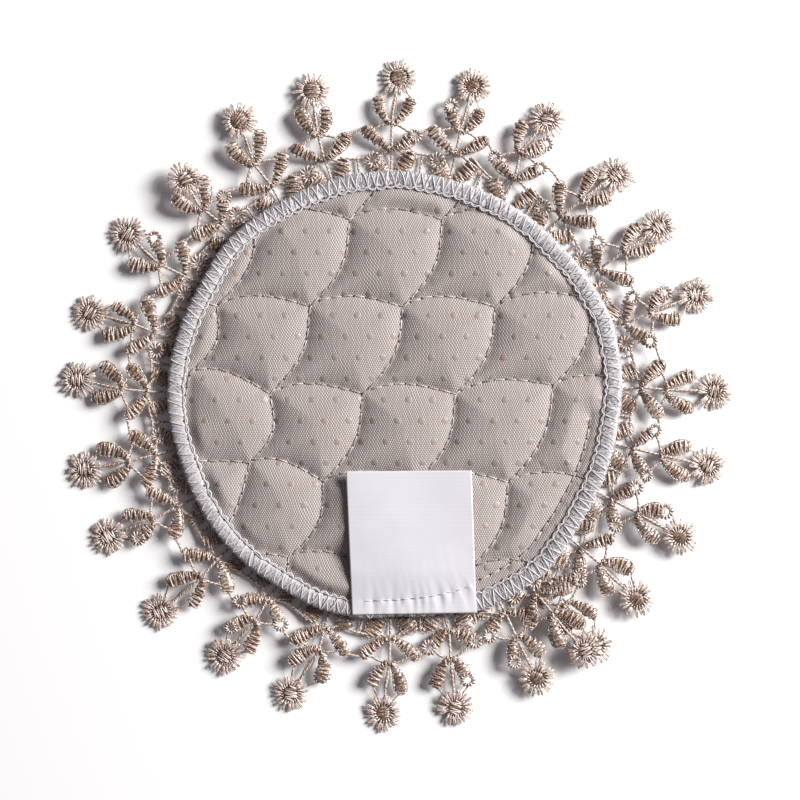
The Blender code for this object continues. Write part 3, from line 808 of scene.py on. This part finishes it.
def build_seams(quilt):
    """The quilting thread, a stitch at a time, and near-black tubes at the holes between the
    stitches, painted as the shade inside them.
    """
    threads = Threads(11)
    holes = Threads(12)
    random = threads.random
    rows = []
    ends = []
    for line in quilt.lines:
        found, between = stitch_row(line, STITCH)
        rows += [row + random.normal(0, 0.05 * MM, 2) for row in found
                 if label_inset(row).max() < MM]
        ends.append(between[label_inset(between) < 0])
    heights = quilt.top(np.concatenate(rows)).reshape(len(rows), STITCH_POINTS)
    arch = stitch_arch(0.36, 0.02)
    for row, height in zip(rows, heights):
        threads.add(raised(row, height + arch), STITCH_THREAD, 5)
    ends = np.concatenate(ends)
    for place, height in zip(ends, quilt.top(ends)):
        line = [(*place, height + HOLE_MOUTH), (*place, height - HOLE_FOOT)]
        holes.add(line, HOLE * random.uniform(0.75, 1.15), 7, (1, 0, 0))
    piece = threads.piece("quilting_stitches", thread_finish(QUILTING_YARN))
    holes.piece("needle_hole_shade", hole_shade_finish())


# Overlocked edge

# The band's outside, from its inner edge on top, round the doily's edge, to its inner
# edge below: how far in from the doily's edge, and the height
BAND = np.array([
    (-4.3, 3.95), (-3.8, 4.22), (-3.0, 4.36), (-1.9, 4.42), (-0.8, 4.33), (-0.22, 3.95),
    (0.0, 3.2), (-0.25, 2.35), (-0.9, 1.9), (-2.2, 1.72), (-4.2, 1.75),
]) * MM
BAND_INSIDE = np.array([(-4.2, 2.1), (-1.1, 2.2), (-1.1, 3.9), (-4.2, 3.75)]) * MM
# Round the clock, how closely the filaments cover the cloth, and how pale they look
Cover = namedtuple("Cover", "clock share pale")
COVER = [Cover(*row) for row in (
    (0, 0.6, 1.0), (40, 0.6, 0.85), (60, 0.8, 0.8), (100, 0.8, 0.8), (125, 0.4, 0.4),
    (160, 0.3, 0.35), (175, 0.7, 0.7), (210, 0.7, 0.5), (290, 0.6, 0.3), (315, 0.65, 0.75),
    (340, 0.6, 1.0),
)]


def band_points(clocks, shares, lift=0.0):
    """Points on the band's outside. A share runs from 0 at its inner edge on top to 1 at
    its inner edge below, and lift is how far they stand off it."""
    along = run_lengths(BAND)
    at = np.asarray(shares) * along[-1]
    inset, height = at_stops(BAND, along, at).T
    before, after = (at_stops(BAND, along, at + side * BAND_SLOPE) for side in (-1, 1))
    ahead, drop = (after - before).T
    size = np.hypot(ahead, drop) + TINY
    places = spots(clocks, rim_radius(clocks) + inset - lift * drop / size)
    return raised(places, height + lift * ahead / size)


EDGE_SHARE = float(run_lengths(BAND)[6] / run_lengths(BAND)[-1])


def build_band():
    """The layer of soft filaments under the overlock's threads, closed round the rim."""
    random = np.random.default_rng(21)
    shares = np.linspace(0, 1, BAND_OUTSIDE)
    clocks = 360 * np.arange(BAND_STEPS) / BAND_STEPS
    points = []
    for clock in clocks:
        uneven = random.normal(0, BAND_UNEVEN, BAND_OUTSIDE)
        points.append(band_points(clock, shares, uneven))
        places = spots(clock, rim_radius(clock) + BAND_INSIDE[:, 0])
        points.append(raised(places, BAND_INSIDE[:, 1]))
    points = np.concatenate(points)
    sides = BAND_OUTSIDE + len(BAND_INSIDE)
    tints = np.repeat(round_the_clock(COVER, clocks, "pale"), sides)
    faces = tube_faces(BAND_STEPS, sides, True)
    piece = new_piece("overlock_cover", points, faces, band_finish(), tints)
    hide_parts("edge_overlock")


def build_overlock():
    """Threads that zigzag over the edge, a scalloped chain, and fine filaments."""
    threads = Threads(22)
    holes = Threads(23)
    random = threads.random
    step = 360 / STITCHES_ROUND
    nodes = step * (np.arange(STITCHES_ROUND) + random.normal(0, 0.08, STITCHES_ROUND))
    nodes = np.append(nodes, nodes[0] + 360)
    depth = random.normal(0.03, 0.012, STITCHES_ROUND)
    depth = np.append(depth, depth[0])
    for clock, ahead, inner, inner_ahead in zip(nodes, nodes[1:], depth, depth[1:]):
        cover = float(round_the_clock(COVER, clock, "share"))
        peak = clock + (ahead - clock) * random.uniform(0.35, 0.65)
        reach = EDGE_SHARE * (1.0 - 0.38 * smooth(cover * 2 - 0.9) * random.uniform(0.7, 1.1))
        bulge = cover * random.uniform(0.1, 0.8)
        for start, end in (((clock, inner), (peak, reach)), ((ahead, inner_ahead), (peak, reach))):
            over_band(threads, start, end, bulge, BAND_THREAD, random.uniform(0.6, 1.1))
            if random.uniform() < DOUBLED:
                aside = random.normal(0, 0.25) * step
                start, end = (start[0] + aside, start[1]), (end[0] - aside, EDGE_SHARE)
                over_band(threads, start, end, bulge, 0.6 * BAND_THREAD, random.uniform(0.4, 0.9))
            aside = random.normal(0.5, 0.12) * step
            over_band(threads, (start[0] + aside, inner + 0.06), (end[0] + aside, EDGE_SHARE),
                      0.0, 0.55 * BAND_THREAD, random.uniform(0.5, 1.0), 3, 7)
            below = [(turn, 2 * EDGE_SHARE - share) for turn, share in (start, end)]
            over_band(threads, *below, 0.0, BAND_THREAD, 0.7)
        for _ in range(int(7 + 9 * cover)):
            place = clock + random.uniform(-0.2, 1.2) * step
            start = (place, random.uniform(0.05, 0.1 + 0.2 * cover))
            end = (place + random.normal(0, 0.3) * step, EDGE_SHARE * random.uniform(0.8, 1.3))
            over_band(threads, start, end, 0.0, FILAMENT, random.uniform(0.4, 1.0), 3, 6)
        scallop(threads, (clock, inner), (ahead, inner_ahead))
        # A near-black tube at each hole, painted as the shade inside it.
        hole = band_points(np.array([(clock + ahead) / 2 + random.normal(0, 0.1) * step]),
                           np.array([inner + 0.02]), 0.03 * MM)[0]
        size = HOLE * random.uniform(0.5, 1.1)
        holes.add([hole, hole - (0, 0, EDGE_HOLE)], size, 6, (1, 0, 0))
    piece = threads.piece("overlock_stitches", thread_finish(OVERLOCK_YARN))
    holes.piece("edge_needle_holes", hole_shade_finish())


def over_band(threads, start, end, bulge, radius, tint, sides=4, count=9):
    """A thread over the band between two places, each a clock angle and a share. Where
    bulge is 1, it is a quarter of an oval."""
    along = np.linspace(0, 1, count)
    turn = along * pi / 2
    sway = threads.random.normal(0, 0.12) * np.sin(pi * along)
    toward = along + (1 - np.cos(turn) - along) * bulge + sway
    outward = along + (np.sin(turn) - along) * bulge
    clocks = start[0] + (end[0] - start[0]) * toward
    shares = start[1] + (end[1] - start[1]) * outward
    lift = 0.55 * radius + (0.03 + 0.08 * np.sin(pi * along) * threads.random.uniform(0, 1)) * MM
    threads.add(band_points(clocks, shares, lift), radius, sides, tint=tint)


def scallop(threads, start, end):
    """The chain's thread between two stitches, which bows over the cloth."""
    random = threads.random
    along = np.linspace(0, 1, 9)
    clocks = start[0] + (end[0] - start[0]) * along
    shares = start[1] + (end[1] - start[1]) * along
    places = band_points(clocks, shares, 0.25 * MM)
    outward = unit(places[:, :2])
    arch = np.sin(pi * along)
    places[:, :2] -= outward * (random.uniform(0.45, 0.85) * arch * MM)[:, None]
    places[:, 2] -= 0.15 * MM * arch
    threads.add(places, 1.1 * BAND_THREAD, 4, tint=random.uniform(0.8, 1.1))
    places[:, :2] += outward * (random.uniform(0.3, 0.6) * arch * MM)[:, None]
    places[:, 2] += 0.1 * MM * arch
    threads.add(places, 0.7 * BAND_THREAD, 4, tint=random.uniform(0.5, 1.0))


# Lace trim


def lace_mid(places, layer):
    """The height of the middle of the lace's thickness."""
    clocks = clocks_of(places)
    radii = np.linalg.norm(places, axis=-1)
    share = np.clip((radii - LACE_FREE) / (MOTIFS[0].reach - LACE_FREE), 0, 1)
    lift = round_the_clock(MOTIFS, clocks, "lift")
    arch = LACE_ARCH * np.sin(pi * share**ARCH_SKEW) * smooth(ARCH_START * share)
    level = LACE_MID + arch + lift * share**2
    off = np.abs((clocks - SPLICE + 180) % 360 - 180)
    clear_of_rim = smooth((radii - LACE_FREE) / (4 * MM) - 0.5)
    return level + layer * SPLICE_RISE * smooth(2 * (1 - off / SPLICE_HALF)) * clear_of_rim


class LaceMotif:
    """One motif of the lace: a flower on a stem and three pairs of leaves."""

    def __init__(self, row, threads, fringe):
        self.row = row
        self.threads = threads
        self.fringe = fringe
        self.random = threads.random
        self.layer = 1.0 if row.clock in UPPER_LAYER else 0.0
        # Painted shade: the motif on top where the trim overlaps has every tint darkened.
        self.painted_shade = UPPER_PAINTED_SHADE if row.clock in UPPER_LAYER else 1.0
        self.flower = spots(row.clock + row.lean, row.reach)
        self.fork = spots(row.clock + row.elbow, row.fork)
        self.seat = spots(row.clock, row.seat)
        self.root = spots(row.clock, LACE_IN + HEADER / 2)
        self.shoulders = []
        self.upper_tips = self.pair(self.fork, self.flower, UPPER)
        self.lower_tips = self.pair(self.seat, self.fork, LOWER)
        self.under_tips = self.pair(self.seat, self.fork, UNDER)
        self.add_flower()
        self.add_stems()

    def lifted(self, places, height=0.0):
        """Places on the lace, at a height above the middle of its thickness."""
        places = np.asarray(places, float)
        return raised(places, lace_mid(places, self.layer) + height)

    def pair(self, centre, ahead, pair):
        """Two leaves that open from a point of the stem. Returns their tips."""
        out = unit(ahead - centre)
        right = right_of(out)
        tips = []
        for hand in (-1, 1):
            uneven = self.random.normal(0, 0.4 * MM, 2)
            base = centre + out * pair.start + right * hand * 0.45 * MM
            tip = centre + out * pair.out + right * hand * pair.side + uneven
            bow = pair.bow * self.random.uniform(0.5, 1.5)
            middle = (base + tip) / 2 + (right * hand * 2 - out) * bow
            places = bend(base, middle, tip, LEAF_POINTS)
            self.leaf(places, pair.width * self.random.uniform(0.9, 1.1))
            tips.append(tip)
            self.shoulders.append(places[SHOULDER] + out * 0.3 * pair.width)
        if pair.start > UNDER.start:
            ends = [centre + out * 0.5 * MM + right * hand * 1.5 * MM for hand in (-1, 1)]
            collar = bend(ends[0], centre - out * 0.8 * MM, ends[1])
            self.zigzag(collar, 0.65 * MM, 0.5 * MM, 1.0)
        return tips

    def leaf(self, places, width):
        """A satin leaf: zigzags over and under flat padding. Some end in an eyelet."""
        half = width / 2 - SATIN
        if self.random.uniform() < EYELETS:
            eye = places[int(LEAF_POINTS * EYELET_AT)]
            self.ring(eye, 0.76 * half, 0.3 * half, EYELET_STITCHES, SATIN)
            places = places[: int(LEAF_POINTS * EYELET_FROM)]
        self.padding(places, half)
        if self.random.uniform() < CORDED:
            self.edge(places, half)
        self.zigzag(places, half * self.random.uniform(1.0, 1.12), 0.32 * MM, 1.0)
        # Painted shade: the stitches under the leaf are tinted darker than those over it.
        self.zigzag(places, half, -0.42 * MM, 0.8, UNDER_SPARSE)

    def along_leaf(self, places, share):
        """Points at shares of a leaf's length, their directions, and its half width there."""
        line = at_stops(places, np.linspace(0, 1, len(places)), share)
        return line, unit(np.gradient(line, axis=0)), np.interp(share, LEAF_ALONG, LEAF_HALF)

    def zigzag(self, places, half, high, light, sparse=1.0):
        """Uneven stitches to and fro over a line, or under it where high is below zero."""
        turns = run_lengths(places)[-1] / (LEAF_PITCH * sparse * self.random.uniform(0.88, 1.12))
        count = int(turns * COIL_POINTS)
        share = np.linspace(0, 1, count)
        turn = 2 * pi * share * turns
        aside = PAIRED * np.sin(turn) + self.each_side(share, turns, -0.2, 0.2)
        line, _, wide = self.along_leaf(places, np.clip(share + aside / turns, 0, 1))
        run = self.along_leaf(places, share)[1]
        side = right_of(run)
        off = np.cos(turn) * half * wide * self.each_side(share, turns, 0.86, 1.1)
        dome = 0.5 * high * (1 - (off / half) ** 2)
        height = np.abs(np.sin(turn)) * high * self.each_side(share, turns, 0.6, 1.2) + dome
        points = self.lifted(line + side * off[:, None], height)
        # Painted highlight and shade: the tint rises towards the leaf's edges, where the thread
        # turns, and falls in the middle.
        tints = light * self.shade(share, turns / 2) * (0.68 + 0.54 * (off / half) ** 2)
        self.threads.add(points, 0.8 * SATIN, 4, raised(run, 0), tints, flat=1.4)

    def edge(self, places, half):
        """The uneven cord that runs round a leaf; its raised beads are painted light and the dips
        between them painted dark.
        """
        count = max(4, round(run_lengths(places)[-1] / EDGE_STEP))
        line, run, wide = self.along_leaf(places, np.linspace(0, 1, count))
        side = right_of(run) * (0.96 * half * wide)[:, None]
        turns = np.linspace(0.15, 0.85, 5)[:, None] * pi
        cap = line[-1] + side[-1] * np.cos(turns) + run[-1] * half * 0.32 * np.sin(turns)
        outline = np.concatenate((line + side, cap, (line - side)[::-1]))
        total = len(outline)
        beads = np.arange(total) % 2
        height = (0.05 + 0.16 * beads) * MM + self.random.normal(0, 0.05 * MM, total)
        outline = outline + self.random.normal(0, 0.06 * MM, (total, 2))
        # Painted highlight and shade: raised beads are tinted light, the dips between them dark.
        tints = np.where(beads, 1.15, 0.45) * self.random.uniform(0.6, 1.1, total) * self.painted_shade
        thick = EDGE_CORD * (0.7 + 0.7 * beads)
        self.threads.add(self.lifted(outline, height), thick, 4, tint=tints)

    def padding(self, places, half):
        """The flat middle of a leaf, which its stitches cover, tinted darker as painted shade in
        the gaps between the stitches.
        """
        line, _, wide = self.along_leaf(places, np.linspace(0, 1, 9))
        # Painted shade: a darker sheet under the stitches.
        self.threads.add(self.lifted(line), 0.86 * half * wide, 6, tint=0.4, flat=0.14)

    def each_side(self, share, turns, low, high):
        """A random factor for each crossing of a coil, eased from one to the next."""
        crossings = np.linspace(0, 1, int(turns) * 2 + 2)
        return np.interp(share, crossings, self.random.uniform(low, high, len(crossings)))

    def shade(self, share, turns):
        """The tint of each crossing of a coil."""
        tints = self.random.choice((0.4, 0.6, 0.85, 1.0, 1.1), int(turns) * 2 + 2) * self.painted_shade
        return tints[(share * (len(tints) - 1)).astype(int)]

    def add_flower(self):
        """A satin middle, a ring of stitches round it, and petals that are loops."""
        centre = self.flower
        lean = radians(self.row.clock + self.row.lean) + self.random.normal(0, 0.25)
        out = np.array((sin(lean), cos(lean)))
        kind = PLAIN
        if self.row.clock in OPEN_FLOWERS:
            kind = OPEN
        elif self.row.clock in FULL_FLOWERS:
            kind = FULL
        self.round_shade_padding(centre, SPOKES + 0.5 * SPOKE_REACH)
        self.core(centre, out, kind)
        self.ring(centre, kind.ring, kind.reach, kind.turns, kind.ring_thick)
        count = int(self.random.integers(20, 24))
        first = self.random.uniform(0, 360)
        for number in range(count):
            self.petal(centre, first + 360 * number / count + self.random.normal(0, 3))

    def round_shade_padding(self, centre, radius):
        """The flat round that a flower's stitches lie on, tinted dark as painted shade in the gaps
        between them.
        """
        chord = np.linspace(-0.97, 0.97, 9)
        places = centre + np.outer(chord, (radius, 0))
        half = radius * np.sqrt(1 - chord**2)
        # Painted shade: tint 0 gives the yarn's darkest colour.
        self.threads.add(self.lifted(places), half, 6, tint=0.0, flat=0.06)

    def core(self, centre, out, kind):
        """Parallel satin stitches over and under a flower's middle."""
        side = right_of(out)
        radius = kind.core
        for face, sparse in ((1, 1.0), (-1, CORE_UNDER_SPARSE)):
            turns = 2 * radius / (kind.pitch * sparse)
            share = np.linspace(0.02, 0.98, int(turns * COIL_POINTS))
            along = (2 * share - 1) * radius + self.each_side(share, turns, -0.15, 0.15) * MM
            half = np.sqrt(np.maximum(radius**2 - along**2, (0.25 * radius) ** 2))
            turn = 2 * pi * share * turns
            off = np.cos(turn) * half * self.each_side(share, turns, 0.82, 1.12)
            dome = 0.25 * MM * (1 - (along**2 + off**2) / radius**2)
            places = centre + out * along[:, None] + side * off[:, None]
            height = np.abs(np.sin(turn)) * self.each_side(share, turns, 0.15, 0.4) * MM
            points = self.lifted(places, np.where(face > 0, height + kind.rise + dome, -height))
            # Painted shade and light: the kind's tint is darker for sunken middles, lighter for
            # the raised plain one.
            tints = kind.light * self.shade(share, turns)
            self.threads.add(points, kind.thick, 4, (*out, 0), tints)

    def ring(self, centre, radius, reach, turns, thick):
        """Uneven stitches wound round a ring."""
        count = turns * RING_POINTS
        angle = 2 * pi * np.arange(count) / count + self.random.uniform(0, 6)
        turn = angle * turns
        away = np.stack((np.cos(angle), np.sin(angle)), axis=1)
        reach = reach * self.random.uniform(0.8, 1.25, count)
        places = centre + away * (radius + reach * np.cos(turn))[:, None]
        height = 0.34 * MM * np.sin(turn) + 0.12 * MM
        beside = raised(-right_of(away), 0)
        tints = self.shade(np.linspace(0, 1, count), turns)
        # Painted shade and highlight: where a stitch passes under it is tinted dark, on top light.
        tints = tints * np.where(np.sin(turn) < -0.1, 0.3, 1.15)
        self.threads.add(self.lifted(places, height), thick, 4, beside, tints, closed=True)

    def petal(self, centre, angle):
        """A narrow loop of thread that stands out from the flower's middle."""
        turn = radians(angle)
        away = np.array((cos(turn), sin(turn)))
        tip = PETAL_REACH + self.random.normal(0, 0.28 * MM)
        wide = self.random.uniform(0.1, 0.24) * MM
        lean = self.random.normal(0, 0.25 * MM)
        reach = PETAL_ROOT + (tip - PETAL_ROOT) * PETAL_ALONG
        aside = PETAL_APART * wide + lean * PETAL_ALONG**2
        places = centre + away * reach[:, None] - right_of(away) * aside[:, None]
        height = (0.3 - 0.35 * PETAL_ALONG**2) * MM
        self.fringe.add(self.lifted(places, height), PETAL, 4,
                        tint=self.random.uniform(0.75, 1.15) * self.painted_shade)

    def stem(self, places):
        """Two strands twisted round each other along a line."""
        line = spaced(np.asarray(places, float), 0.25 * MM)
        side = right_of(unit(np.gradient(line, axis=0)))
        turn = 2 * pi * run_lengths(line) / STEM_PITCH + self.random.uniform(0, 2 * pi)
        # Painted highlight and shade: one strand is tinted light, the other dark, so the twist
        # shows bright beads.
        for half_turn, tint in ((0, 1.15 * self.painted_shade), (pi, 0.6 * self.painted_shade)):
            off = STEM_SPREAD * np.cos(turn + half_turn)
            up = STEM_SPREAD * np.sin(turn + half_turn)
            self.threads.add(self.lifted(line + side * off[:, None], up), STRAND, 4, tint=tint)

    def hair(self, start, end, bow, height=0.0, radius=FINE):
        """A fine thread between two places, bowed and slightly wavy."""
        side = right_of(unit(end - start))
        places = bend(start, (start + end) / 2 + side * bow * 2, end)
        share = np.linspace(0, 1, BEND_POINTS)
        wave = 0.09 * MM * np.sin(share * self.random.uniform(9, 16) + self.random.uniform(0, 6))
        places = places + side * (wave * np.sin(pi * share))[:, None]
        self.threads.add(self.lifted(places, height), radius, 4)

    def add_stems(self):
        """The stem from header to flower, and the fine threads that tie it to the leaves."""
        stem = unit(self.flower - self.fork)
        right = right_of(stem)
        neck = self.flower - stem * (SPOKES + 0.8 * MM)
        bow = self.random.normal(0, 0.4 * MM)
        self.stem(bend(self.fork, (self.fork + neck) / 2 + right * bow, neck))
        for hand in (-1, 1):
            self.hair(self.fork + right * hand * 0.5 * MM, neck + right * hand * 0.9 * MM,
                      -hand * 1.3 * MM)
        self.stem(bend(self.seat, (self.seat + self.fork) / 2, self.fork, 8))
        middle = (self.root + self.seat) / 2 + self.random.normal(0, 0.3 * MM, 2)
        self.stem(bend(self.root, middle, self.seat, 8))
        for hand, tip in zip((-1, 1), self.upper_tips):
            toward = unit(self.flower - tip)
            start = self.flower - toward * (SPOKES + 0.6 * MM)
            self.hair(start, tip, hand * 0.35 * MM, 0.1 * MM, 1.2 * FINE)
            self.hair(start + toward * 0.3 * MM - right * hand * 0.5 * MM, tip - stem * 0.8 * MM,
                      -hand * 0.3 * MM)
        for start, end in zip((self.fork, self.fork, self.seat, self.seat), self.shoulders[2:]):
            bow = stem * self.random.uniform(0.5, 1.3) * MM
            self.stem(bend(start, (start + end) / 2 + bow, end))


def join_motifs(first, second):
    """The threads that tie the tips of one motif's leaves to the next one's, and those
    threads to the header."""
    for start, end in (
        (first.lower_tips[1], second.lower_tips[0]), (first.under_tips[1], second.under_tips[0]),
    ):
        middle = (start + end) / 2
        bow = first.random.normal(-0.3 * MM, 0.4 * MM)
        first.stem(bend(start, middle + unit(middle) * bow, end, 10))
    inward = -unit(middle)
    end = middle + inward * (np.linalg.norm(middle) - LACE_IN - HEADER)
    first.stem(bend(middle, (middle + end) / 2 + right_of(inward) * 0.6 * MM, end, 8))


def build_header(threads, clocks):
    """The narrow band of the trim that is sewn under the pad's rim."""
    inner, outer = LACE_IN + HEADER_CORD, LACE_IN + HEADER - HEADER_CORD
    for radius in (inner, outer):
        threads.add(raised(spots(clocks, radius), LACE_MID), HEADER_CORD, 5)
    count = len(clocks) * 3
    fine = np.linspace(clocks[0], clocks[-1], count)
    radii = inner + np.arange(count) % 2 * (outer - inner)
    threads.add(raised(spots(fine, radii), LACE_MID + 0.1 * MM), HEADER_THREAD, 4)


def build_lace():
    """The trim in four lengths, each with its motifs, ties and header."""
    material = thread_finish(LACE_YARN)
    fringe = Threads(44)
    motifs = []
    lengths = []
    for number, group in enumerate(LENGTHS):
        threads = Threads(40 + number)
        motifs += [LaceMotif(MOTIFS[index], threads, fringe) for index in group]
        lengths.append(threads)
    for first, second in zip(motifs, motifs[1:] + motifs[:1]):
        join_motifs(first, second)
    for number, (group, threads) in enumerate(zip(LENGTHS, lengths)):
        start = MOTIFS[group[0]].clock - HEADER_PAST
        end = MOTIFS[group[-1]].clock + HEADER_PAST
        if end < start:
            start -= 360
        build_header(threads, np.arange(start, end, HEADER_STEP))
        piece = threads.piece("lace_trim_" + "abcd"[number], material)
        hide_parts("lace_trim")
    petals = fringe.piece("lace_flower_petals", material)
    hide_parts("lace_trim")


# Care label


def label_inset(places):
    """How far places lie inside the label's sides and its top edge."""
    x, y = places[..., 0], places[..., 1]
    down = (LABEL_TOP_LEFT.y - y) / (LABEL_TOP_LEFT.y - LABEL_LOW_LEFT.y)
    left = LABEL_TOP_LEFT.x + (LABEL_LOW_LEFT.x - LABEL_TOP_LEFT.x) * down
    right = LABEL_TOP_RIGHT.x + (LABEL_LOW_RIGHT.x - LABEL_TOP_RIGHT.x) * down
    return np.minimum(np.minimum(x - left, right - x), LABEL_TOP_LEFT.y - y)


def label_height(places):
    """The height of the label's under side, with the puckers along its row of stitches."""
    over_pad = smooth((rim_inset(places) - 0.5 * EDGE_REACH) / (2.6 * EDGE_REACH))
    level = EDGE_TOP + GAP + LABEL_RIDE * over_pad
    near, along = nearest_on([LABEL_SEAM], places)
    below = places[:, 1] < np.interp(places[:, 0], LABEL_SEAM[:, 0], LABEL_SEAM[:, 1])
    drift = 1.6 * np.sin(along / (3.7 * MM)) + 1.1 * np.sin(along / (1.9 * MM) + near / (2 * MM))
    pucker = 0
    for high, reach, length, way in PUCKERS:
        turn = 2 * pi * along / (length * MM) + way * drift
        pucker = pucker + high * MM * np.exp(-near / (reach * MM)) * np.sin(turn)
    level = level + 0.15 * MM + pucker * np.where(below, 1.0, 0.45)
    level -= 0.12 * MM * np.exp(-near / (0.7 * MM))
    level += 0.12 * MM * np.sin(places[:, 0] / (6 * MM) + places[:, 1] / (9 * MM))
    return level


def build_label():
    width = (LABEL_TOP_RIGHT - LABEL_TOP_LEFT).length
    length = (LABEL_LOW_LEFT - LABEL_TOP_LEFT).length
    across = ceil(width / LABEL_CELL)
    along = ceil(length / LABEL_CELL)
    places = []
    for row in range(along + 1):
        left = LABEL_TOP_LEFT.lerp(LABEL_LOW_LEFT, row / along)
        right = LABEL_TOP_RIGHT.lerp(LABEL_LOW_RIGHT, row / along)
        places += [tuple(left.lerp(right, column / across)) for column in range(across + 1)]
    places = np.array(places)
    under = label_height(places)
    number = np.arange(len(places)).reshape(along + 1, across + 1)
    corners = (number[:-1, :-1], number[1:, :-1], number[1:, 1:], number[:-1, 1:])
    faces = np.stack(corners, axis=-1).reshape(-1, 4).tolist()
    rim = [*number[0, :-1], *number[:-1, -1], *number[-1, :0:-1], *number[:0:-1, 0]]
    points, faces = two_sided(places, under + LABEL_THICK, under, faces, rim)
    piece = new_piece("care_label_cloth", points, faces, satin_finish())
    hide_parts("care_label")


def build_label_seam():
    threads = Threads(31)
    rows, _ = stitch_row(spaced(LABEL_SEAM, 0.3 * MM), LABEL_STITCH)
    arch = stitch_arch(0.3, 0.12)
    for row in rows:
        height = label_height(row) + LABEL_THICK + arch
        threads.add(raised(row, height), LABEL_THREAD, 5)
    threads.piece("label_stitches", thread_finish(LABEL_YARN))


# Stage


def build_floor():
    mesh = bpy.data.meshes.new("floor")
    sides = ((-1, -1), (1, -1), (1, 1), (-1, 1))
    mesh.from_pydata([(FLOOR_HALF * x, FLOOR_HALF * y, 0) for x, y in sides], [], [(0, 1, 2, 3)])
    mesh.materials.append(floor_finish())
    floor = add_object("floor", mesh)


def build_light():
    rise, turn = radians(KEY_RISE), radians(KEY_CLOCK)
    toward = Vector((cos(rise) * sin(turn), cos(rise) * cos(turn), sin(rise)))
    lamp = bpy.data.lights.new("key", "AREA")
    lamp.shape = "DISK"
    lamp.size = KEY_SIZE
    lamp.energy = KEY_POWER
    lamp.color = KEY_COLOR
    key = add_object("key", lamp)
    key.location = toward * KEY_AWAY
    key.rotation_euler = toward.to_track_quat("Z", "Y").to_euler()
    world = bpy.data.worlds.new("studio")
    world.use_nodes = True
    back = world.node_tree.nodes["Background"]
    back.inputs["Color"].default_value = ROOM_COLOR
    back.inputs["Strength"].default_value = ROOM_LIGHT
    bpy.context.scene.world = world
    bpy.context.scene.view_settings.view_transform = "Standard"


def build_camera():
    data = bpy.data.cameras.new("camera")
    data.lens = LENS
    data.sensor_width = SENSOR
    data.clip_start = 0.05
    camera = add_object("camera", data)
    camera.location = (*VIEW_MIDDLE, LACE_LEVEL + VIEW_WIDTH * LENS / SENSOR)
    bpy.context.scene.camera = camera


def main():
    build_camera()
    build_floor()
    build_light()
    quilt = Quilt()
    build_pad(quilt)
    build_dots(quilt)
    build_seams(quilt)
    build_band()
    build_overlock()
    build_lace()
    build_label()
    build_label_seam()


main()
